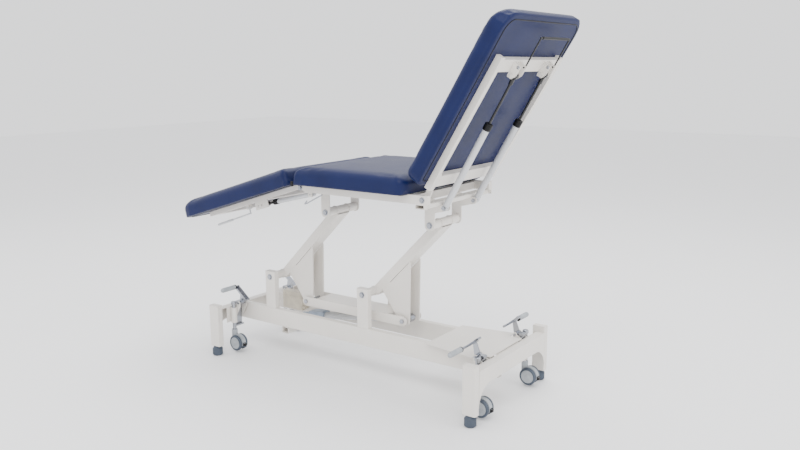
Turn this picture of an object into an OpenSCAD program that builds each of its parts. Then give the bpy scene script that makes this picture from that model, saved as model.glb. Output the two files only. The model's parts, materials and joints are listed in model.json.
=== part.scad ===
// Treatment table with a padded three-part top on a motor-driven lift.
// X runs along the table with the head end at +X, Y runs across it and Z is up.
// The origin is on the floor, at the middle of the whole table in the posture drawn.
// Places along the table are measured from the middle of the floor frame.

/* [Floor frame] */
// Length over the four legs
base_l = 1445; // [1300:5:1600]
// Width over the four legs
base_w = 612; // [560:2:680]
// Leg width along the table
leg_l = 58; // [50:1:70]
// Leg width across the table
leg_t = 30; // [25:1:40]
// Height of the top of the leg tubes
leg_top = 240; // [232:1:270]
// Height of the bottom of the leg tubes
leg_low = 46; // [40:1:56]
// Height of the top of the side rails
rail_top = 224; // [215:1:232]
// Depth of the side rails
rail_h = 80; // [70:1:90]
// Thickness of the side rails and lift posts across the table
rail_t = 30; // [25:1:36]
// Width over the two side rails
rail_spread = 255; // [245:1:275]
// Wall of the steel tubes
tube_wall = 2.5; // [2:0.1:3.5]
// Outside corner radius of the square tubes
tube_r = 4; // [2:0.5:6]
// Height of the top of the end beams
beam_top = 218; // [205:1:228]
// Depth of the end beams
beam_h = 66; // [55:1:80]
// Width of the end beam's folded flanges
beam_d = 36; // [30:1:44]
// Sheet thickness of the end beams, tray and brackets
sheet = 3; // [2:0.25:4]
// Radius of the rounded gussets under the end beams
gusset_r = 80; // [50:1:90]

/* [Lift] */
// Place of the foot-end lift posts along the table
foot_post_x = -495; // [-520:1:-470]
// Distance between the two pairs of posts
post_pitch = 547.5; // [530:0.5:560]
// Post width along the table
post_w = 60; // [50:1:70]
// Height of the top of the posts
post_top = 399; // [395:1:420]
// Height of the lower arm pivots
pivot_z = 372.5; // [360:0.5:380]
// Arm length from pivot to pivot
arm_l = 473; // [440:1:500]
// Angle of the arms above level as shown
arm_angle = 45.2; // [40:0.1:50]
// Width of the arm tube across the table
arm_w = 80; // [70:1:90]
// Depth of the arm tube
arm_d = 40; // [34:1:46]
// Drop of the arm tube's middle below the line of its pivots
arm_drop = 5; // [0:0.5:8]
// Outside radius of the pivot tubes
pivot_r = 19; // [16:0.5:22]
// Radius of the pivot bolts
bolt_r = 6; // [5:0.5:7]
// Running clearance of a bolt in its bore, on the radius
run_gap = 0.06; // [0.03:0.01:0.09]
// Lever pin ahead of the lower pivot
lever_x = 162; // [150:1:170]
// Lever pin below the lower pivot
lever_z = 107.5; // [100:0.5:115]
// Thickness of the lever plates
plate_t = 6; // [5:0.5:8]
// Depth of the link bar
link_h = 42; // [36:1:48]
// Width over the link bar's sides
link_w = 116; // [108:1:124]

/* [Actuator] */
// Rear pin of the actuator along the table
act_x = -408; // [-415:1:-400]
// Height of the actuator's rear pin
act_z = 172; // [170:1:176]
// Radius of the actuator's outer tube
act_tube_r = 17; // [14:0.5:18]
// Radius of the actuator's push rod
act_rod_r = 10; // [8:0.5:12]

/* [Top frame] */
// Distance across the hanger plates' outer faces
hanger_spread = 211; // [205:1:218]
// Thickness of the hanger plates
hanger_t = 6; // [5:0.5:8]
// Width of the hanger plates along the table
hanger_w = 46; // [40:1:52]
// Width over the section frames
frame_w = 500; // [470:2:540]
// Tube width of the section frames
frame_t = 25; // [20:1:30]
// Depth of the seat frame's tubes
seat_frame_h = 36; // [32:1:40]
// Height of the underside of the seat cushion
seat_z = 854; // [848:1:862]
// Depth of the section hinges below the underside of the cushions
hinge_drop = 18; // [16:0.5:20]
// Place of the leg section's hinge along the table
leg_hinge_x = -174; // [-178:1:-170]
// Place of the backrest's hinge along the table
back_hinge_x = 447; // [443:1:451]
// Radius of the hinge bolts
hinge_r = 5; // [4:0.5:6]

/* [Sections] */
// Backrest angle above level as shown
back_angle = 58.3; // [50:0.1:60]
// Leg section angle below level as shown
leg_angle = 17.3; // [12:0.1:20]
// Distance from the backrest hinge to the top of its frame
back_l = 615; // [590:1:640]
// Depth of the backrest frame's tubes
back_frame_h = 25; // [20:1:28]
// Distance from the leg hinge to the end of the leg frame
leg_l_frame = 620; // [590:1:650]
// Depth of the leg frame's tubes
leg_frame_h = 20; // [18:1:24]

/* [Cushions] */
// Width of the cushions
pad_w = 645; // [600:5:700]
// Thickness of the cushions at their sides
pad_t = 74; // [60:1:80]
// Rise of the cushions' crown over their sides
pad_crown = 4; // [0:0.5:8]
// Draw of the cushions' long sides between their corners
pad_draw = 4; // [0:0.5:8]
// Seat cushion's foot end along the table
seat_pad_x0 = -172; // [-173:1:-160]
// Seat cushion's head end along the table
seat_pad_x1 = 412; // [400:1:418]
// Start of the leg cushion, measured from its hinge
leg_pad_0 = 0; // [0:1:10]
// End of the leg cushion, measured from its hinge
leg_pad_1 = 744; // [700:1:770]
// Start of the backrest cushion, measured from its hinge
back_pad_0 = 50; // [48:1:60]
// End of the backrest cushion, measured from its hinge
back_pad_1 = 790; // [750:1:810]

/* [Gas springs] */
// Backrest springs' distance from the middle of the table
spring_y = 120; // [119:1:124]
// Radius of the spring cylinders
spring_r = 13; // [11:0.5:14]
// Radius of the spring rods
spring_rod_r = 5; // [4:0.5:6]
// Length of a backrest spring's cylinder from its eye
spring_body_l = 386; // [360:1:400]
// Length of the leg spring's cylinder from its eye
leg_spring_body_l = 236; // [210:1:240]

/* [Castors] */
// Castor place from the middle along the table
castor_x = 670; // [664:1:676]
// Castor place from the middle across the table
castor_y = 200; // [190:1:210]
// Castor wheel radius
wheel_r = 37.5; // [32:0.5:40]
// Width of one wheel of a castor
wheel_w = 15; // [12:0.5:17]
// Height of the castor wheels off the floor when raised
castor_lift = 8; // [4:0.5:12]
// Trail of the wheels behind the castor stem
trail = 24; // [16:1:28]
// Radius of the castor stems
stem_r = 9; // [7:0.5:10]

/* [Hidden] */
$fn = 48;
over = 2;
fit_gap = 0.04;
hinge_z = seat_z - hinge_drop;
rail_y = rail_spread / 2 - rail_t / 2;
seat_low = seat_z - seat_frame_h;
frame_in = frame_w / 2 - frame_t;
plate_edge = 8;
plate_reach = 66;
rail_low = rail_top - rail_h;
rail_in = rail_spread / 2 - rail_t;
beam_x = base_l / 2;
beam_low = beam_top - beam_h;
leg_x = base_l / 2 - leg_l / 2;
leg_y = base_w / 2 - leg_t / 2;
leg_in = base_w / 2 - leg_t;
head_post_x = foot_post_x + post_pitch;
arm_dx = arm_l * cos(arm_angle);
arm_dz = arm_l * sin(arm_angle);
upper_z = pivot_z + arm_dz;
foot_hang_x = foot_post_x + arm_dx;
head_hang_x = head_post_x + arm_dx;
hanger_in = hanger_spread / 2 - hanger_t;
post_play = 2;
lower_tube_l = 2 * (rail_in - post_play);
side_play = 0.8;
upper_tube_l = 2 * (hanger_in - side_play);
head_t = 7;
head_r = 10.5;
foot_r = 24;
foot_chamfer = 5;
foot_shoulder = 32;
foot_neck_r = 17;
cap_h = 3;
plug_h = 18;
corner_r = 3;
beam_notch = 0.3;
member_w = 40;
member_h = 30;
ear_t = 6;
ear_y = 22;
ear_r = 12;
act_pin_r = 5;
socket_r = 14;
socket_low = 140;
socket_top = 213;
mount_in = beam_x - beam_d - sheet;
mount_low = 143;
mount_y0 = 136;
mount_y1 = 232;
pedal_x = 650;
pedal_z = 234;
pedal_ear_y0 = 142;
pedal_ear_y1 = 185;
pedal_ear_t = 3;
pedal_ear_r = 9;
pedal_pin_r = 5;
pedal_y = (pedal_ear_y0 + pedal_ear_y1) / 2;
hub_r = 8.5;
cam_l = 28;
cam_r = 6;
cam_w = 26;
stem_web_w = 30;
stem_web_top = 9;
stem_web_t = 5;
pedal_bar_h = 9;
pedal_bar_w = 24;
pedal_rod_r = 5;
grip_wall = 5;
link_plate_x = 676;
link_plate_t = 4;
link_plate_low = 120;
link_plate_h = 7;
link_plate_top = 227.5;
link_plate_y0 = 147;
link_plate_y1 = 181;
link_head_l = 10;
link_head_h = 6;
knob_r = 13;
knob_low = 229;
knob_h = 14;
knob_round = 4;
boss_r = 14;
boss_low = 84;
boss_top = 104;
bore_low = 87;
race_h = 4;
race_r = 13;
hood_rise = 1;
web_half = 10;
wheel_gap = 1.2;
axle_r = 5;
axle_z = wheel_r + castor_lift;
hub_low_r = 12;
tab_l = 45;
tab_half = 8;
tab_h = 12;
tab_low = 36;
tyre_t = 9;
tyre_round = 4;
disc_dish = 3;
tray_t = 2;
tray_x0 = 392;
tray_y0 = 147;
tray_y1 = 181;
tray_notch_x = 632;
tray_notch_y = 134;
box_x0 = -600;
box_x1 = -472;
box_y0 = 62;
box_z0 = 165;
box_z1 = 252;
box_r = 6;
lid_h = 22;
lid_groove = 1.5;
gland_r = 8;
gland_l = 16;
gland_y = 14;
inlet_l = 30;
inlet_h = 20;
inlet_deep = 12;
lever_r = 26;
lever_x0 = 51;
lever_z0 = 1;
lever_x1 = 193;
lever_z1 = 150;
lever_in_x0 = 40;
lever_in_z0 = 24;
lever_in_x1 = 176;
lever_in_z1 = 172;
slot_l = 140;
slot_t = 3;
slot_x0 = 98;
link_t = 5;
web_start = 60;
web_stop = 75;
spacer_r = 10;
motor_x0 = 62;
motor_x1 = 150;
motor_half = 26;
motor_up = 24;
motor_down = 34;
motor_r = 21;
motor_drop = 40;
eye_r = 12;
eye_half = 12;
act_tube_end = 450;
act_bore_x = 190;
act_rod_x = 300;
act_seal_t = 12;
act_seal_r = 19;
rod_eye_r = 18;
rod_eye_bore = 12.2;
rod_eye_half = 15;
hang_tube_x0 = -150;
hang_tube_x1 = -126;
hang_tube_h = 20;
hang_tube_top = 850;
mid_tube_w = 30;
rear_tube_x0 = 416;
rear_tube_x1 = 457;
rear_tube_h = 18;
seat_rail_x0 = -190;
seat_rail_x1 = 469;
seat_cut_x = -148;
seat_cut_z = 846;
seat_slope_z = 847;
seat_slope_x = -152;
seat_slope_top = 852.5;
end_plate_x = 424;
end_plate_t = 5;
end_plate_low = 800;
lug_x0 = 404;
lug_z1 = 812;
lug_z0 = 760;
lug_z2 = 776;
lug_r = 14;
spring_low_x = 468.3;
spring_low_z = 790.1;
spring_bolt_r = 5;
leg_lug_x = -138;
leg_lug_z = 806;
leg_spring_in = 41;
leg_spring_y = frame_w / 2 - leg_spring_in;
leg_spring_r = 10;
leg_spring_rod_r = 4;
leg_eye_r = 10;
leg_pin_along = 250;
leg_pin_drop = 22;
leg_pin_r = 4;
leg_pin_play = 1.2;
neck_l = 22;
leg_rail_y = frame_w / 2 - frame_t - side_play / 2;
hinge_boss_r = 12;
leg_bracket_start = 236;
leg_bracket_end = 317;
leg_bracket_drop = 38;
leg_bracket_t = 4;
hole_r = 5;
spring_along = 560;
spring_drop = 24;
back_rail_0 = 50;
back_low_0 = 62;
back_low_1 = 114;
back_top_w = 50;
back_lug_t = 6;
back_lug_r = 14;
back_lug_l = 125;
spring_plate_in = 22;
spring_plate_t = 4;
spring_eye_r = 13;
spring_eye_bore = 9.4;
spring_eye_half = 8;
collar_l = 26;
collar_r = 15;
neck_r = 8;
bar_start = 599;
bar_start_drop = 31;
bar_end = 718;
bar_end_drop = 29;
bar_y0 = -90;
bar_y1 = 149;
bar_r = 3;
grip_r = 5;
grip_y0 = -78;
grip_y1 = 137;
rel_start = 371;
rel_end = 600;
rel_start_drop = 14;
rel_bend_drop = 42;
rel_end_drop = 50;
rel_grip_share = 0.55;
rel_r = 3.5;
rel_grip_r = 5.5;
joint_grow = 0.8;
rel_in = 38;
rel_y = frame_w / 2 - rel_in;
rel_lug_y = 9;
rel_lug_t = 3;
rel_lug_r = 9;
pad_base_r = 14;
pad_edge_r = 24;
pad_seam = 2;
pad_seam_h = 3;
pad_corner = 45;
pad_corner_small = 26;
pad_corner_big = 80;
pad_fall_l = 110;
pad_fall_small = 60;
pad_fall_share = 0.5;
pad_end_round = 20;
pad_end_l = 60;
wall_end = 3;
rail_tip = 8;

bar_out = [[32, 72], [3, 69]];
bar_in = [[-36, 18], [-34, 38]];
rod_y0 = [150, 106];
rod_y1 = [252, 312];
grip_y_in = [178, 238];

shell_c = [0.89, 0.87, 0.84];
vinyl_c = [0.15, 0.19, 0.37];
slate_c = [0.27, 0.29, 0.32];
grey_c = [0.72, 0.74, 0.76];
chrome_c = [0.8, 0.81, 0.83];
black_c = [0.08, 0.08, 0.09];
motor_c = [0.62, 0.67, 0.74];
beige_c = [0.82, 0.79, 0.7];

act_dx = head_post_x + lever_x - act_x;
act_dz = pivot_z - lever_z - act_z;
act_l = norm([act_dx, act_dz]);
act_angle = atan2(act_dz, act_dx);

seam_z = pad_t - pad_edge_r - pad_seam_h;

ring_rows = concat(
  [for (g = [0:30:90]) [pad_base_r * (1 - sin(g)), pad_base_r * (1 - cos(g)), 1]],
  [[0, seam_z - pad_seam_h, 1], [pad_seam, seam_z, 1]],
  [for (g = [0:22.5:90]) [pad_edge_r * (1 - cos(g)), pad_t - pad_edge_r + pad_edge_r * sin(g), 1]],
  [for (share = [0.9, 0.8, 0.66, 0.33]) [pad_edge_r, pad_t + pad_crown * (1 - share * share), share]]
);

tip_x = min([
  for (p = leg_pad_points()) leg_hinge_x + p[0] * cos(leg_angle) - (p[2] + hinge_drop) * sin(leg_angle)
]);
head_x = back_hinge_x + bar_end * cos(back_angle) + bar_end_drop * sin(back_angle) + grip_r;
centre_x = -(tip_x + head_x) / 2;

module centred() {
  translate([centre_x, 0, 0]) children();
}

module prism_y(l) {
  rotate([90, 0, 0]) linear_extrude(height = l, center = true) children();
}

module prism_x(l) {
  rotate([90, 0, 90]) linear_extrude(height = l, center = true) children();
}

module rod_y(r, l) {
  rotate([90, 0, 0]) cylinder(r = r, h = l, center = true);
}

module rod_x(r, l) {
  rotate([0, 90, 0]) cylinder(r = r, h = l);
}

module box(x0, x1, y0, y1, z0, z1) {
  translate([x0, y0, z0]) cube([x1 - x0, y1 - y0, z1 - z0]);
}

module both_sides() {
  children();
  mirror([0, 1, 0]) children();
}

module both_ends() {
  children();
  mirror([1, 0, 0]) children();
}

module rounded(w, h, r) {
  square([w - 2 * r, h], center = true);
  square([w, h - 2 * r], center = true);
  for (i = [-1, 1], j = [-1, 1]) {
    translate([i * (w / 2 - r), j * (h / 2 - r)]) circle(r = r);
  }
}

module tube_section(w, h) {
  difference() {
    rounded(w, h, tube_r);
    square([w - 2 * tube_wall, h - 2 * tube_wall], center = true);
  }
}

module hex_head(r, h) {
  rotate([90, 0, 0]) linear_extrude(height = h, center = true)
    polygon([for (i = [0:5]) r * [cos(60 * i), sin(60 * i)]]);
}

module bolt_y(x, z, y0, y1, r) {
  translate([x, (y0 + y1) / 2, z]) rod_y(r, y1 - y0);
}

module strut(p, q, y, r) {
  d = q - p;
  translate([p[0], y, p[1]]) rotate([0, atan2(d[0], d[1]), 0]) cylinder(r = r, h = norm(d));
}

module at_back() {
  translate([back_hinge_x, 0, hinge_z]) rotate([0, -back_angle, 0]) children();
}

module at_leg() {
  translate([leg_hinge_x, 0, hinge_z]) rotate([0, -leg_angle, 0]) children();
}

module at_actuator() {
  translate([act_x, 0, act_z]) rotate([0, -act_angle, 0]) children();
}

// Floor frame

module side_rails() {
  color(shell_c) centred() both_sides() difference() {
    translate([0, rail_y, rail_top - rail_h / 2]) prism_x(base_l - 2 * sheet) tube_section(rail_t, rail_h);
    both_ends() box(mount_in + sheet - beam_notch, beam_x, 0, base_w, beam_top - sheet - beam_notch,
      rail_top + over);
  }
}

module lift_posts() {
  color(shell_c) centred() both_sides() for (x = [foot_post_x, head_post_x]) {
    difference() {
      translate([x, rail_y, rail_top]) {
        linear_extrude(height = post_top - rail_top - wall_end) tube_section(post_w, rail_t);
        translate([0, 0, post_top - rail_top - wall_end]) linear_extrude(height = wall_end)
          rounded(post_w, rail_t, tube_r);
      }
      bolt_y(x, pivot_z, rail_in - over, rail_spread / 2 + over, bolt_r + fit_gap);
    }
  }
}

module legs() {
  color(shell_c) centred() both_ends() both_sides() translate([leg_x, leg_y, leg_low]) {
    linear_extrude(height = leg_top - leg_low) tube_section(leg_l, leg_t);
  }
}

module leg_plug(h) {
  linear_extrude(height = h) square([leg_l - 2 * tube_wall, leg_t - 2 * tube_wall], center = true);
}

module leg_caps() {
  color(shell_c) centred() both_ends() both_sides() translate([leg_x, leg_y, leg_top]) {
    linear_extrude(height = cap_h) rounded(leg_l, leg_t, tube_r);
    translate([0, 0, -plug_h]) leg_plug(plug_h);
  }
}

module feet() {
  color(slate_c) centred() both_ends() both_sides() translate([leg_x, leg_y, 0]) {
    rotate_extrude() polygon([
      [0, 0], [foot_r - foot_chamfer, 0], [foot_r, foot_chamfer], [foot_r, foot_shoulder],
      [foot_neck_r, leg_low - foot_chamfer], [foot_neck_r, leg_low], [0, leg_low]
    ]);
    translate([0, 0, leg_low]) leg_plug(plug_h);
  }
}

module beam_front() {
  difference() {
    translate([0, (beam_low - gusset_r + beam_top) / 2])
      square([2 * leg_in, beam_h + gusset_r], center = true);
    translate([0, beam_low - gusset_r]) square([2 * (leg_in - gusset_r), 2 * gusset_r], center = true);
    for (i = [-1, 1]) {
      translate([i * (leg_in - gusset_r), beam_low - gusset_r]) circle(r = gusset_r);
    }
  }
}

module end_beams() {
  color(shell_c) centred() both_ends() {
    translate([beam_x - sheet / 2, 0, 0]) prism_x(sheet) beam_front();
    box(beam_x - beam_d, beam_x - sheet / 2, -leg_in, leg_in, beam_top - sheet, beam_top);
  }
}

module cross_member() {
  color(shell_c) centred() {
    translate([act_x, 0, rail_low - member_h / 2]) rotate([0, 0, 90]) prism_x(rail_spread)
      tube_section(member_w, member_h);
    both_sides() translate([act_x, ear_y, 0]) difference() {
      prism_y(ear_t) {
        translate([-ear_r, rail_low]) square([2 * ear_r, act_z - rail_low]);
        translate([0, act_z]) circle(r = ear_r);
      }
      translate([0, 0, act_z]) rod_y(act_pin_r + fit_gap, ear_t + over);
    }
    bolt_y(act_x, act_z, -ear_y - ear_t, ear_y + ear_t, act_pin_r);
  }
}

module castor_mount() {
  difference() {
    union() {
      translate([castor_x, castor_y, socket_low]) cylinder(r = socket_r, h = socket_top - socket_low);
      box(mount_in, mount_in + sheet, mount_y0, mount_y1, mount_low, beam_top);
      box(castor_x, mount_in + sheet / 2, castor_y - sheet, castor_y + sheet, mount_low, socket_top);
    }
    translate([castor_x, castor_y, socket_low - over])
      cylinder(r = stem_r + run_gap, h = socket_top - socket_low + 2 * over);
  }
  for (y = [pedal_ear_y0, pedal_ear_y1]) {
    difference() {
      translate([0, y, 0]) prism_y(pedal_ear_t) {
        polygon([
          [mount_in + sheet / 2, mount_low], [mount_in + sheet / 2, beam_top],
            [pedal_x + pedal_ear_r, pedal_z],
          [pedal_x - pedal_ear_r, pedal_z], [pedal_x - pedal_ear_r, pedal_z - 2 * pedal_ear_r]
        ]);
        translate([pedal_x, pedal_z]) circle(r = pedal_ear_r);
      }
      bolt_y(pedal_x, pedal_z, y - pedal_ear_t, y + pedal_ear_t, pedal_pin_r + run_gap);
    }
  }
}

module castor_mounts() {
  color(shell_c) centred() both_ends() both_sides() castor_mount();
}

module tray() {
  tray_end = beam_x - beam_d - fit_gap;
  color(shell_c) centred() translate([0, 0, rail_top]) linear_extrude(height = tray_t) polygon([
    [tray_x0, -tray_y0], [tray_notch_x, -tray_y1], [tray_notch_x, -tray_notch_y], [tray_end, -tray_notch_y],
    [tray_end, tray_notch_y], [tray_notch_x, tray_notch_y], [tray_notch_x, tray_y1], [tray_x0, tray_y0]
  ]);
}

module control_box() {
  box_my = (box_y0 + rail_in) / 2;
  box_w = rail_in - box_y0;
  box_l = box_x1 - box_x0;
  color(beige_c) centred() {
    difference() {
      translate([(box_x0 + box_x1) / 2, box_my, box_z0]) linear_extrude(height = box_z1 - box_z0)
        rounded(box_l, box_w, box_r);
      difference() {
        box(box_x0 - over, box_x1 + over, box_y0 - over, rail_in + over, box_z1 - lid_h,
          box_z1 - lid_h + lid_groove);
        box(box_x0 + lid_groove, box_x1 - lid_groove, box_y0 + lid_groove, rail_in + 2 * over, box_z0,
          box_z1);
      }
      box(box_x0 - over, box_x0 + inlet_deep, box_my - inlet_h / 2, box_my + inlet_h / 2,
        box_z0 + gland_y, box_z0 + gland_y + inlet_l);
    }
    for (y = [-gland_r, gland_r]) {
      translate([box_x1 - over, box_my + y, box_z0 + gland_y]) rod_x(gland_r - lid_groove, gland_l);
    }
  }
}

module post_bolts() {
  color(chrome_c) centred() for (x = [foot_post_x, head_post_x]) {
    bolt_y(x, pivot_z, -rail_spread / 2 - head_t / 2, rail_spread / 2 + head_t / 2, bolt_r);
    for (s = [-1, 1]) {
      translate([x, s * (rail_spread / 2 + head_t / 2), pivot_z]) hex_head(head_r, head_t);
    }
  }
}

// Castors, drawn for the near side of the head end and mirrored to the others

module castor_place(end, side) {
  mirror([end < 0 ? 1 : 0, 0, 0]) mirror([0, side < 0 ? 1 : 0, 0]) children();
}

module pedal(end, side) {
  k = end < 0 ? 0 : 1;
  pivot = [pedal_x, pedal_z];
  p = pivot + bar_in[k];
  q = pivot + bar_out[k];
  d = (q - p) / norm(q - p);
  c = [-d[1], d[0]] * pedal_bar_h / 2;
  m = (p + q) / 2;
  e = k == 0 ? q : p;
  color(chrome_c) centred() castor_place(end, side) {
    bolt_y(pedal_x, pedal_z, pedal_ear_y0 - 2 * pedal_ear_t, pedal_ear_y1 + 2 * pedal_ear_t, pedal_pin_r);
    bolt_y(pedal_x, pedal_z, pedal_ear_y0 + pedal_ear_t, pedal_ear_y1 - pedal_ear_t, hub_r);
    translate([0, pedal_y, 0]) prism_y(cam_w) {
      translate([pedal_x, pedal_z - cam_r]) square([cam_l, 2 * cam_r]);
      translate([pedal_x + cam_l, pedal_z]) circle(r = cam_r);
    }
    translate([0, pedal_y, 0]) prism_y(stem_web_t) polygon([
      pivot + [-stem_web_w / 2, 0], pivot + [stem_web_w / 2, 0], m + d * stem_web_top, m - d * stem_web_top
    ]);
    translate([0, pedal_y, 0]) prism_y(pedal_bar_w) {
      polygon([p - c, q - c, q + c, p + c]);
      translate(p) circle(r = pedal_bar_h / 2);
      translate(q) circle(r = pedal_bar_h / 2);
    }
    bolt_y(e[0], e[1], rod_y0[k], rod_y1[k], pedal_rod_r);
  }
}

module grip(end, side) {
  k = end < 0 ? 0 : 1;
  e = [pedal_x, pedal_z] + (k == 0 ? bar_out[k] : bar_in[k]);
  color(slate_c) centred() castor_place(end, side) difference() {
    union() {
      bolt_y(e[0], e[1], grip_y_in[k], rod_y1[k], pedal_rod_r + grip_wall);
      translate([e[0], rod_y1[k], e[1]]) sphere(r = pedal_rod_r + grip_wall);
    }
    bolt_y(e[0], e[1], grip_y_in[k] - over, rod_y1[k], pedal_rod_r);
  }
}

module stem(end, side) {
  color(chrome_c) centred() castor_place(end, side) {
    translate([castor_x, castor_y, bore_low]) cylinder(r = stem_r, h = knob_low - bore_low);
    translate([castor_x, castor_y, boss_top + fit_gap]) cylinder(r = race_r, h = race_h);
    translate([castor_x, castor_y, knob_low]) {
      cylinder(r = knob_r, h = knob_h - knob_round);
      cylinder(r = knob_r - knob_round, h = knob_h);
      translate([0, 0, knob_h - knob_round]) rotate_extrude() translate([knob_r - knob_round, 0])
        intersection() {
        circle(r = knob_round);
        square(knob_round);
      }
    }
    box(link_plate_x - link_plate_t / 2, link_plate_x + link_plate_t / 2, link_plate_y0, link_plate_y1,
      link_plate_low, link_plate_top - over);
    box(link_plate_x - link_head_l / 2, link_plate_x + link_head_l / 2 - over, link_plate_y0,
      link_plate_y1, link_plate_top - link_head_h, link_plate_top);
    box(castor_x - stem_r, link_plate_x + link_plate_t / 2, link_plate_y0, castor_y, link_plate_low,
      link_plate_low + link_plate_h);
  }
}

module hood(end, side) {
  ax = castor_x + end * trail;
  hood_r = wheel_r + hood_rise;
  color(grey_c) centred() castor_place(end, side) difference() {
    union() {
      translate([castor_x, castor_y, boss_low]) cylinder(r = boss_r, h = boss_top - boss_low);
      translate([ax, castor_y, axle_z]) prism_y(2 * web_half) difference() {
        circle(r = hood_r);
        translate([-2 * hood_r, -4 * hood_r - hub_low_r]) square(4 * hood_r);
      }
      intersection() {
        translate([castor_x, castor_y, axle_z]) cylinder(r = boss_r, h = boss_top - axle_z);
        box(0, base_l, castor_y - web_half, castor_y + web_half, axle_z, boss_top);
      }
      translate([ax + end * (tab_l + hub_low_r) / 2, castor_y, tab_low + tab_h / 2]) {
        cube([tab_l - hub_low_r, 2 * tab_half, tab_h], center = true);
      }
    }
    translate([castor_x, castor_y, bore_low])
      cylinder(r = stem_r + run_gap, h = boss_top - bore_low + over);
    translate([ax, castor_y, axle_z]) rod_y(axle_r + run_gap, 4 * web_half);
  }
}

module wheels(end, side) {
  ax = castor_x + end * trail;
  color(slate_c) centred() castor_place(end, side) translate([ax, castor_y, axle_z]) {
    rod_y(axle_r, 2 * (web_half + wheel_gap / 2 + tyre_t));
    for (t = [0, 1]) mirror([0, t, 0]) translate([0, web_half + wheel_gap / 2 + wheel_w / 2, 0])
      rotate([-90, 0, 0]) rotate_extrude() polygon([
      [0, -wheel_w / 2], [wheel_r - tyre_round, -wheel_w / 2], [wheel_r, -wheel_w / 2 + tyre_round],
      [wheel_r, wheel_w / 2 - tyre_round], [wheel_r - tyre_round, wheel_w / 2],
        [wheel_r - tyre_t, wheel_w / 2],
      [wheel_r - tyre_t, wheel_w / 2 - disc_dish], [0, wheel_w / 2 - disc_dish]
    ]);
  }
}

// Lift

module lever_shape() {
  d = [lever_x - lever_x0, -lever_z - lever_z0];
  a = atan2(d[1], d[0]) + 180 + acos(lever_r / norm(d));
  difference() {
    union() {
      polygon([
        [lever_x0, lever_z0], [lever_x, -lever_z] + lever_r * [cos(a), sin(a)], [lever_x, -lever_z],
        [lever_x + lever_r, -lever_z], [lever_x1, lever_z1], [lever_in_x1, lever_in_z1],
          [lever_in_x0, lever_in_z0]
      ]);
      translate([lever_x, -lever_z]) circle(r = lever_r);
    }
    rotate(arm_angle) translate([slot_x0, -arm_drop - arm_d / 2 - slot_t]) square([slot_l, slot_t]);
  }
}

module arm(x, link_bore) {
  color(shell_c) centred() translate([x, 0, pivot_z]) difference() {
    union() {
      difference() {
        rotate([0, -arm_angle, 0]) translate([arm_l / 2, 0, -arm_drop]) prism_x(arm_l)
          tube_section(arm_w, arm_d);
        rod_y(pivot_r - over, arm_w + over);
      }
      rod_y(pivot_r, lower_tube_l);
      translate([arm_dx, 0, arm_dz]) rod_y(pivot_r, upper_tube_l);
      both_sides() translate([0, arm_w / 2 - plate_t / 2, 0]) prism_y(plate_t) lever_shape();
    }
    rod_y(bolt_r + run_gap, rail_spread);
    translate([arm_dx, 0, arm_dz]) rod_y(bolt_r + run_gap, rail_spread);
    translate([lever_x, 0, -lever_z]) rod_y(bolt_r + link_bore, arm_w + over);
  }
}

module foot_arm() {
  arm(foot_post_x, fit_gap);
}

module head_arm() {
  arm(head_post_x, fit_gap);
}

module link_bar() {
  color(shell_c) centred() translate([foot_post_x + lever_x, 0, pivot_z - lever_z]) {
    both_sides() difference() {
      translate([0, link_w / 2 - link_t / 2, 0]) prism_y(link_t) {
        translate([0, -link_h / 2]) square([post_pitch, link_h]);
        circle(r = link_h / 2);
        translate([post_pitch, 0]) circle(r = link_h / 2);
      }
      for (x = [0, post_pitch]) {
        translate([x, link_w / 2, 0]) rod_y(bolt_r + run_gap, 4 * link_t);
      }
    }
    box(web_start, post_pitch - web_stop, -link_w / 2 + link_t / 2, link_w / 2 - link_t / 2,
      link_h / 2 - link_t, link_h / 2);
  }
}

module link_bolt(x) {
  color(chrome_c) centred() translate([x + lever_x, 0, pivot_z - lever_z]) {
    rod_y(bolt_r, link_w + head_t);
    for (s = [-1, 1]) {
      translate([0, s * (link_w / 2 + head_t / 2), 0]) hex_head(head_r, head_t - side_play);
      translate([0, s * (arm_w / 2 + link_w / 2 - link_t) / 2, 0])
        rod_y(spacer_r, link_w / 2 - link_t - arm_w / 2 - side_play / 2);
    }
  }
}

module foot_link_bolt() {
  link_bolt(foot_post_x);
}

module head_link_bolt() {
  link_bolt(head_post_x);
}

// Actuator, drawn along X from its rear pin

module motor_housing() {
  color(motor_c) centred() at_actuator() difference() {
    union() {
      rod_y(eye_r, 2 * eye_half);
      box(0, motor_x0 + over, -eye_half, eye_half, -eye_r, eye_r);
      translate([(motor_x0 + motor_x1) / 2, 0, (motor_up - motor_down) / 2]) {
        prism_x(motor_x1 - motor_x0) rounded(2 * motor_half, motor_up + motor_down, tube_r);
      }
      translate([motor_x0, 0, -motor_drop]) rod_x(motor_r, motor_x1 - motor_x0 + motor_r);
    }
    rod_y(act_pin_r + run_gap, 4 * eye_half);
  }
}

module actuator_tube() {
  color(grey_c) centred() at_actuator() difference() {
    union() {
      translate([motor_x1, 0, 0]) rod_x(act_tube_r, act_tube_end - motor_x1);
      translate([act_tube_end - act_seal_t, 0, 0]) rod_x(act_seal_r, act_seal_t);
    }
    translate([act_bore_x, 0, 0]) rod_x(act_rod_r + run_gap, act_tube_end);
  }
}

module push_rod() {
  color(chrome_c) centred() at_actuator() difference() {
    union() {
      translate([act_rod_x, 0, 0]) rod_x(act_rod_r, act_l - act_rod_x - rod_eye_bore);
      translate([act_l, 0, 0]) rod_y(rod_eye_r, 2 * rod_eye_half);
    }
    translate([act_l, 0, 0]) rod_y(rod_eye_bore, 4 * rod_eye_half);
  }
}

// Top frame

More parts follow.
